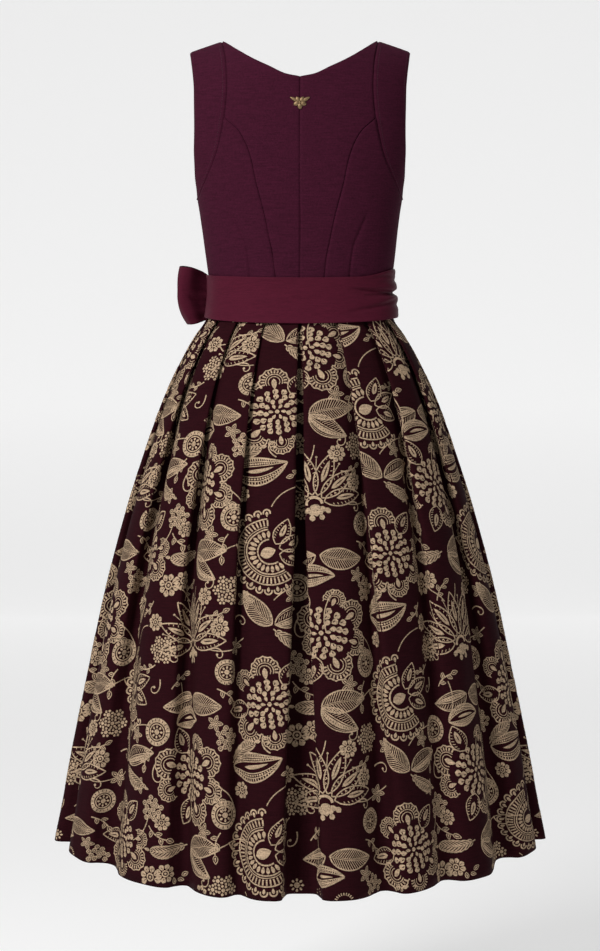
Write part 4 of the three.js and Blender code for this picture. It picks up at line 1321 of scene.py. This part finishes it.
# A loop seen from above: its run, and there how far along, how far out, half its width and its
# lift. It starts at the root and turns back at LOOP_TURN.
LOOP_PATH = np.array([
    (0, 13.7, 3.2, 15, 0),
    (1, 26, 8.5, 24, 0),
    (2, 45, 15, 37, 1),
    (3, 68, 17, 42, 2),
    (4, 86, 12, 43, 2),
    (4.6, 92, 5, 43, 2),
    (5.2, 91, -3, 43, 2),
    (6, 79, -9.5, 42, 2),
    (7, 58, -5.5, 38, 1),
    (8, 34, -3.4, 27, 0),
    (9, 13.7, -2.4, 15, 0),
], float)
LOOP_ROOT = 13.7
LOOP_TURN = 4.8


def bow_frame():
    """The bow's middle, just clear of the sash, and its directions along and out."""
    angle, up = np.array(BOW_ANGLE), np.array(0.5)
    step = 0.01
    seat = sash_point(angle, up, False)
    along = sash_point(angle + step, up, False) - sash_point(angle - step, up, False)
    rise = sash_point(angle, up + step, False) - sash_point(angle, up - step, False)
    out = unit(np.cross(along, rise) * [1, 1, 0])
    side = np.array([-out[1], out[0], 0])
    side = -side if side[1] > 0 else side
    centre = seat + out * (KNOT[1] + SASH_WALL / 2 + KNOT_CLEAR)
    return centre, side, out


def bow_point(along, out, up):
    """A point of the bow from its own directions."""
    centre, side, outward = bow_frame()
    up_axis = np.array([0, 0, 1.0])
    return centre + along[..., None] * side + out[..., None] * outward + up[..., None] * up_axis


def knot_points():
    """The knot: a squared sphere, pinched at its middle, with the soft folds of the wrapped cloth
    running up and down over it."""
    pole = np.linspace(0.02, np.pi - 0.02, 49)[:, None]
    turn = np.linspace(0, 2 * np.pi, 96, endpoint=False)[None]
    sphere = (np.sin(pole) * np.cos(turn), np.cos(pole) + 0 * turn, np.sin(pole) * np.sin(turn))
    x, y, z = (np.sign(v) * np.abs(v) ** KNOT_SQUARENESS for v in sphere)
    pinch = 1 - 0.12 * np.cos(np.pi * y / 2) ** 2
    front = smoothstep(z, -0.2, 0.6)
    wave = 0.1 * front * (np.cos(7.5 * x + 1.1 * y) - 0.5 * np.cos(4.1 * x - 1.6 * y)) - 0.05 * front
    return bow_point(x * KNOT[0] * pinch, z * KNOT[1] * (1 + wave), y * KNOT[2])


def loop_points(direction, length):
    """A loop: its path seen from above carried up and down by half the ribbon's width. Gathers run
    out from the knot on both faces and fade, the ribbon's free edges wave a little, its upper edge
    leans open, and the inner face has one crease."""
    run = np.linspace(0, 9, 132)[None]
    up = np.linspace(1, 0, 56)[:, None]
    side = 2 * up - 1
    along, out, half, lift = (through(LOOP_PATH[:, 0], LOOP_PATH[:, k], run) for k in (1, 2, 3, 4))
    far = np.maximum((along - 40) / 50, 0)
    tuck = 17 * far * np.maximum(-side, 0) ** 2 + 5 * far * np.maximum(side, 0) ** 3
    reach = LOOP_ROOT + (along - tuck - LOOP_ROOT) * length
    near = np.exp(-((along - LOOP_ROOT) / 30.0))
    face = np.where(run < LOOP_TURN, 1.0, -1.0)
    waves = 1.7 * np.cos(11 * side + 0.6) + 0.9 * np.cos(19 * side)
    gathers = near * waves * smoothstep(along, 14, 22)
    soft = (1 - near) * 1.3 * np.cos(3.1 * side + 0.02 * along + direction) * smoothstep(far, 0, 0.3)
    rim = 0.9 * np.sin(run * 1.9 + direction) * np.abs(side) ** 6
    lean = np.cos(np.pi * run / (2 * LOOP_TURN))
    open_top = 3.2 * lean * np.maximum(side, 0) ** 2 * smoothstep(along, 14, 40)
    crease = 2.4 * np.exp(-(((side + 1.3 - 0.016 * along) / 0.16) ** 2)) * smoothstep(run, 5.2, 6.2)
    swing = out + face * (gathers + soft) + crease * smoothstep(along, 14, 30)
    return bow_point(direction * reach, swing, lift + side * half + rim + open_top)


# The tails: node, how far the foot leans to the side, length and slant of the end, all in mm.
TAILS = (
    ("bow_tail_back", 49.0, 330.0, 26.0),
    ("bow_tail_front", -63.0, 305.0, -26.0),
)
TAIL_TOP_Z = -388.0


def tail_points(lean, length, slant):
    """A tail: it follows the skirt's ring just clear of it, gathered at the knot and spreading as it
    falls, with lengthwise folds that fade downwards and a slanted end."""
    down = np.linspace(0, 1, 110)[:, None]
    across = np.linspace(-1, 1, 40)[None]
    z = TAIL_TOP_Z - down * (length + slant * across)
    half = lerp(10, 39, smoothstep(down, 0, 0.3))
    step = 0.5
    near, far = skirt_ring(BOW_ANGLE + step, z), skirt_ring(BOW_ANGLE - step, z)
    per_degree = np.linalg.norm(near - far, axis=-1)
    hand = np.sign(lean)
    apart = 39 * smoothstep(down, 0, 0.45) + lerp(10.6, 0, smoothstep(down, 0, 0.5))
    sideways = hand * apart + lean * down
    angle = BOW_ANGLE + (across * half + sideways) / per_degree
    clear = 2.9 + 6.2 * (1 - smoothstep(-z, 394, 416))
    folds = 1.7 * (1 - 0.6 * down) * np.cos(8.5 * across + 0.8 * hand + 1.5 * down)
    folds = folds * smoothstep(down, 0, 0.05)
    folds += 2.4 * smoothstep(down, 0.3, 1) * (1 + np.cos(3.2 * across + 2.2 * down + hand))
    out = clear + np.maximum(folds, -1.2) + 0.5
    return skirt_ring(angle, z) + skirt_normal(angle, z) * out[..., None]


class DIRNDL_OT_sash(bpy.types.Operator):
    """Builds the sash with its creases"""

    bl_idname = "dirndl.sash"
    bl_label = "Sash"

    def execute(self, context):
        colour = context.scene.dirndl.sash_colour
        material = two_toned("burgundy_taffeta", colour, 0.92, 1.1, 0.55, 0.3, (260, 260, 1400), 0.3)
        rows, columns = SASH_ROWS, SASH_COLUMNS
        up = np.broadcast_to(np.linspace(1, 0, rows)[:, None], (rows, columns))
        angle = np.broadcast_to(np.linspace(-180, 180, columns, endpoint=False)[None], (rows, columns))
        grid = sash_point(angle, up)
        edge = np.minimum(up, 1 - up) * SASH_HEIGHT
        radial = unit(grid * [1, 1, 0])
        rim = SASH_RIM * np.exp(-(((edge - 3.0) / 1.6) ** 2))
        grid = grid + radial * (SASH_WALL / 2 + rim)[..., None]
        band = make_mesh("sash_band", grid, grid_faces(rows, columns, wrap=True), material)
        thicken(band, SASH_WALL)
        place(band, "sash_cloth", "sash")
        return {"FINISHED"}


class DIRNDL_OT_bow(bpy.types.Operator):
    """Builds the bow: its knot, two loops and two tails"""

    bl_idname = "dirndl.bow"
    bl_label = "Bow"

    def execute(self, context):
        material = bpy.data.materials["burgundy_taffeta"]
        # Painted shade: one face of each loop takes the sash colour at half its lightness, standing in for
        # the shade inside the loops.
        inside_shade_colour = display(context.scene.dirndl.sash_colour, 0.5)
        painted_shade_inside = plain_material("ribbon_inside_painted_shade", inside_shade_colour, 0.9)
        points = knot_points()
        rows, columns = points.shape[:2]
        poles = points[[0, -1]].mean(axis=1)
        flat = np.concatenate([points.reshape(-1, 3), poles])
        knot = make_mesh("sash_knot", flat, grid_faces(rows, columns, wrap=True), material)
        close_poles(knot, rows, columns)
        place(knot, "sash_cloth", "bow_knot")
        for name, direction, length in (("bow_loop_back", 1, 1.0), ("bow_loop_front", -1, 0.95)):
            grid = loop_points(direction, length)
            grid = grid if direction < 0 else grid[:, ::-1]
            loop = make_mesh(f"{name}_ribbon", grid, grid_faces(*grid.shape[:2]), painted_shade_inside)
            loop.data.materials.append(material)
            # The ribbon's own face takes the painted shade material and the wall's other face the taffeta.
            thicken(loop, RIBBON_WALL).material_offset = 1
            place(loop, "sash_cloth", name)
        for name, lean, length, slant in TAILS:
            grid = tail_points(lean, length, slant)
            tail = make_mesh(f"{name}_ribbon", grid, grid_faces(*grid.shape[:2]), material)
            thicken(tail, RIBBON_WALL)
            place(tail, "sash_cloth", name)
        return {"FINISHED"}


def close_poles(piece, rows, columns):
    """Closes a ring grid's two ends with fans to the last two points of the mesh."""
    work = bmesh.new()
    work.from_mesh(piece.data)
    work.verts.ensure_lookup_table()
    first, last = work.verts[rows * columns], work.verts[rows * columns + 1]
    for j in range(columns):
        k = (j + 1) % columns
        work.faces.new((work.verts[j], work.verts[k], first)).smooth = True
        base = (rows - 1) * columns
        work.faces.new((work.verts[base + k], work.verts[base + j], last)).smooth = True
    bmesh.ops.recalc_face_normals(work, faces=work.faces)
    work.to_mesh(piece.data)
    work.free()


# The metal blossom

PIN_Z = -92.0
BRASS = (128, 106, 78)
DOME_ROWS, DOME_COLUMNS = 13, 9
# Length, width, height and how sharply a part of the blossom narrows.
PIN_PETAL = (9.5, 6.6, 1.7, 0.6)
PIN_LEAF = (16.2, 4.6, 1.4, 0.8)
PIN_EYE = (4.4, 4.4, 2.6, 0.5)


def dome(centre, angle, length, width, height, sharp):
    """A petal of metal: a grid over its length and width that rises as a half sine both ways. Its
    outline narrows to its ends by the power sharp."""
    t = np.linspace(0, 1, DOME_ROWS)[:, None]
    s = np.linspace(-1, 1, DOME_COLUMNS)[None]
    outline = width / 2 * np.maximum(np.sin(np.pi * t), 0) ** sharp
    x, y = t * length, s * outline
    rise = height * np.maximum(np.sin(np.pi * t), 0) ** 0.6 * (1 - s**2) ** 0.6
    c, d = math.cos(math.radians(angle)), math.sin(math.radians(angle))
    return np.stack([centre[0] + c * x - d * y, 0 * x - rise, centre[1] + d * x + c * y], -1)


class DIRNDL_OT_pin(bpy.types.Operator):
    """Builds the metal blossom with its two leaves on the back"""

    bl_idname = "dirndl.pin"
    bl_label = "Metal blossom"

    def execute(self, context):
        material = plain_material("antique_brass", BRASS, 0.55, 0.9)
        _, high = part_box("blossom_pin")
        grids = [dome((0, PIN_Z), angle, *PIN_PETAL) for angle in range(-90, 270, 72)]
        grids += [dome((0, PIN_Z), angle, *PIN_LEAF) for angle in (28, 152)]
        grids.append(dome((-PIN_EYE[0] / 2, PIN_Z), 0, *PIN_EYE))
        points = np.stack(grids)
        points[..., 1] += high[1] / MM
        first = np.arange(len(grids))[:, None, None] * DOME_ROWS * DOME_COLUMNS
        faces = grid_faces(DOME_ROWS, DOME_COLUMNS)[None] + first
        pin = make_mesh("metal_blossom", points, faces.reshape(-1, 4), material)
        plate = pin.modifiers.new("plate", "SOLIDIFY")
        plate.thickness = 0.5 * MM
        plate.offset = 1
        place(pin, "pin_metal", "blossom_pin")
        return {"FINISHED"}


# Floor, light and camera

FLOOR_Z, WALL_TOP_Z = -1560.0, 5200.0
NEAR_Y, WALL_Y, WALL_HALF_WIDTH = -5200.0, 6900.0, 9000.0
SWEEP_RADIUS = 900.0
BACKDROP_GREY = (190, 190, 190)
WORLD_STRENGTH = 0.15
# Each lamp's name, place in metres, power in watts and size in metres.
LAMPS = (
    ("key", (-1.8, -2.3, 1.3), 120, 1.0),
    ("fill", (2.4, -2.2, -1.2), 14, 2.2),
    ("top", (0.0, 0.2, 2.2), 20, 2.4),
)
AIM = (0, 0, -0.55)
CAMERA_PLACE = (0, -3.2, -0.471)
CAMERA_DOWN, CAMERA_LENS, CAMERA_SENSOR = 2.93, 80.92, 36


def backdrop_material():
    """Pale grey that glows a little, and more towards the far wall, where less light reaches it."""
    material, nodes, links, shader = new_material("pale_backdrop")
    set_inputs(shader, Base_Color=linear(BACKDROP_GREY), Roughness=1.0, Emission_Color=(1, 1, 1, 1))
    where = nodes.new("ShaderNodeTexCoord")
    split = nodes.new("ShaderNodeSeparateXYZ")
    links.new(where.outputs["Object"], split.inputs["Vector"])
    glow = nodes.new("ShaderNodeMapRange")
    set_inputs(glow, From_Min=1.5, From_Max=6.0, To_Min=0.5, To_Max=0.59)
    links.new(split.outputs["Y"], glow.inputs["Value"])
    links.new(glow.outputs["Result"], shader.inputs["Emission Strength"])
    return material


def backdrop_points():
    """The floor, a quarter round and the wall behind, as two long edges."""
    turn = np.radians(np.linspace(0, 90, 25))
    y = np.r_[NEAR_Y, WALL_Y - SWEEP_RADIUS * (1 - np.sin(turn)), WALL_Y]
    z = np.r_[FLOOR_Z, FLOOR_Z + SWEEP_RADIUS * (1 - np.cos(turn)), WALL_TOP_Z]
    x = np.array([[-WALL_HALF_WIDTH, WALL_HALF_WIDTH]])
    return np.stack(np.broadcast_arrays(x, y[:, None], z[:, None]), -1)


class DIRNDL_OT_stage(bpy.types.Operator):
    """Builds the pale floor and backdrop, the soft lights and the camera"""

    bl_idname = "dirndl.stage"
    bl_label = "Stage"

    def execute(self, context):
        scene = context.scene
        scene.view_settings.view_transform = "Standard"
        grid = backdrop_points()
        faces = grid_faces(len(grid), 2)[:, ::-1]
        make_mesh("backdrop", grid, faces, backdrop_material())
        scene.world = bpy.data.worlds.new("soft_room")
        scene.world.use_nodes = True
        background = scene.world.node_tree.nodes["Background"]
        set_inputs(background, Color=(1, 1, 1, 1), Strength=WORLD_STRENGTH)
        for name, place_m, power, size in LAMPS:
            light = bpy.data.lights.new(name, "AREA")
            light.energy, light.size = power, size
            lamp = bpy.data.objects.new(name, light)
            lamp.location = place_m
            lamp.rotation_euler = vector_to_euler(np.subtract(AIM, place_m))
            scene.collection.objects.link(lamp)
        data = bpy.data.cameras.new("photo_camera")
        data.sensor_width, data.lens = CAMERA_SENSOR, CAMERA_LENS
        camera = bpy.data.objects.new("photo_camera", data)
        camera.location = CAMERA_PLACE
        camera.rotation_euler = (math.radians(90 - CAMERA_DOWN), 0, 0)
        scene.collection.objects.link(camera)
        scene.camera = camera
        return {"FINISHED"}


def vector_to_euler(direction):
    """The turn that points a lamp along a direction."""
    return Vector(direction).to_track_quat("-Z", "Y").to_euler()


class DIRNDL_PT_panel(bpy.types.Panel):
    """Lists the dress's sizes, colours and pieces"""

    bl_idname = "DIRNDL_PT_panel"
    bl_label = "Dirndl"
    bl_space_type = "VIEW_3D"
    bl_region_type = "UI"
    bl_category = "Dirndl"

    def draw(self, context):
        settings = context.scene.dirndl
        for name in DressSettings.__annotations__:
            self.layout.prop(settings, name)
        for operator in OPERATORS:
            self.layout.operator(operator.bl_idname)


OPERATORS = (
    DIRNDL_OT_bodice, DIRNDL_OT_skirt, DIRNDL_OT_sash, DIRNDL_OT_bow, DIRNDL_OT_pin, DIRNDL_OT_stage,
)
CLASSES = (DressSettings, *OPERATORS, DIRNDL_PT_panel)


def register():
    """Registers the classes and the scene's settings."""
    for cls in CLASSES:
        bpy.utils.register_class(cls)
    bpy.types.Scene.dirndl = bpy.props.PointerProperty(type=DressSettings)


def unregister():
    """Takes the classes and the settings away again."""
    del bpy.types.Scene.dirndl
    for cls in reversed(CLASSES):
        bpy.utils.unregister_class(cls)


def main():
    register()
    bpy.ops.dirndl.stage()
    bpy.ops.dirndl.bodice()
    bpy.ops.dirndl.skirt()
    bpy.ops.dirndl.sash()
    bpy.ops.dirndl.bow()
    bpy.ops.dirndl.pin()


if __name__ == "__main__":
    main()
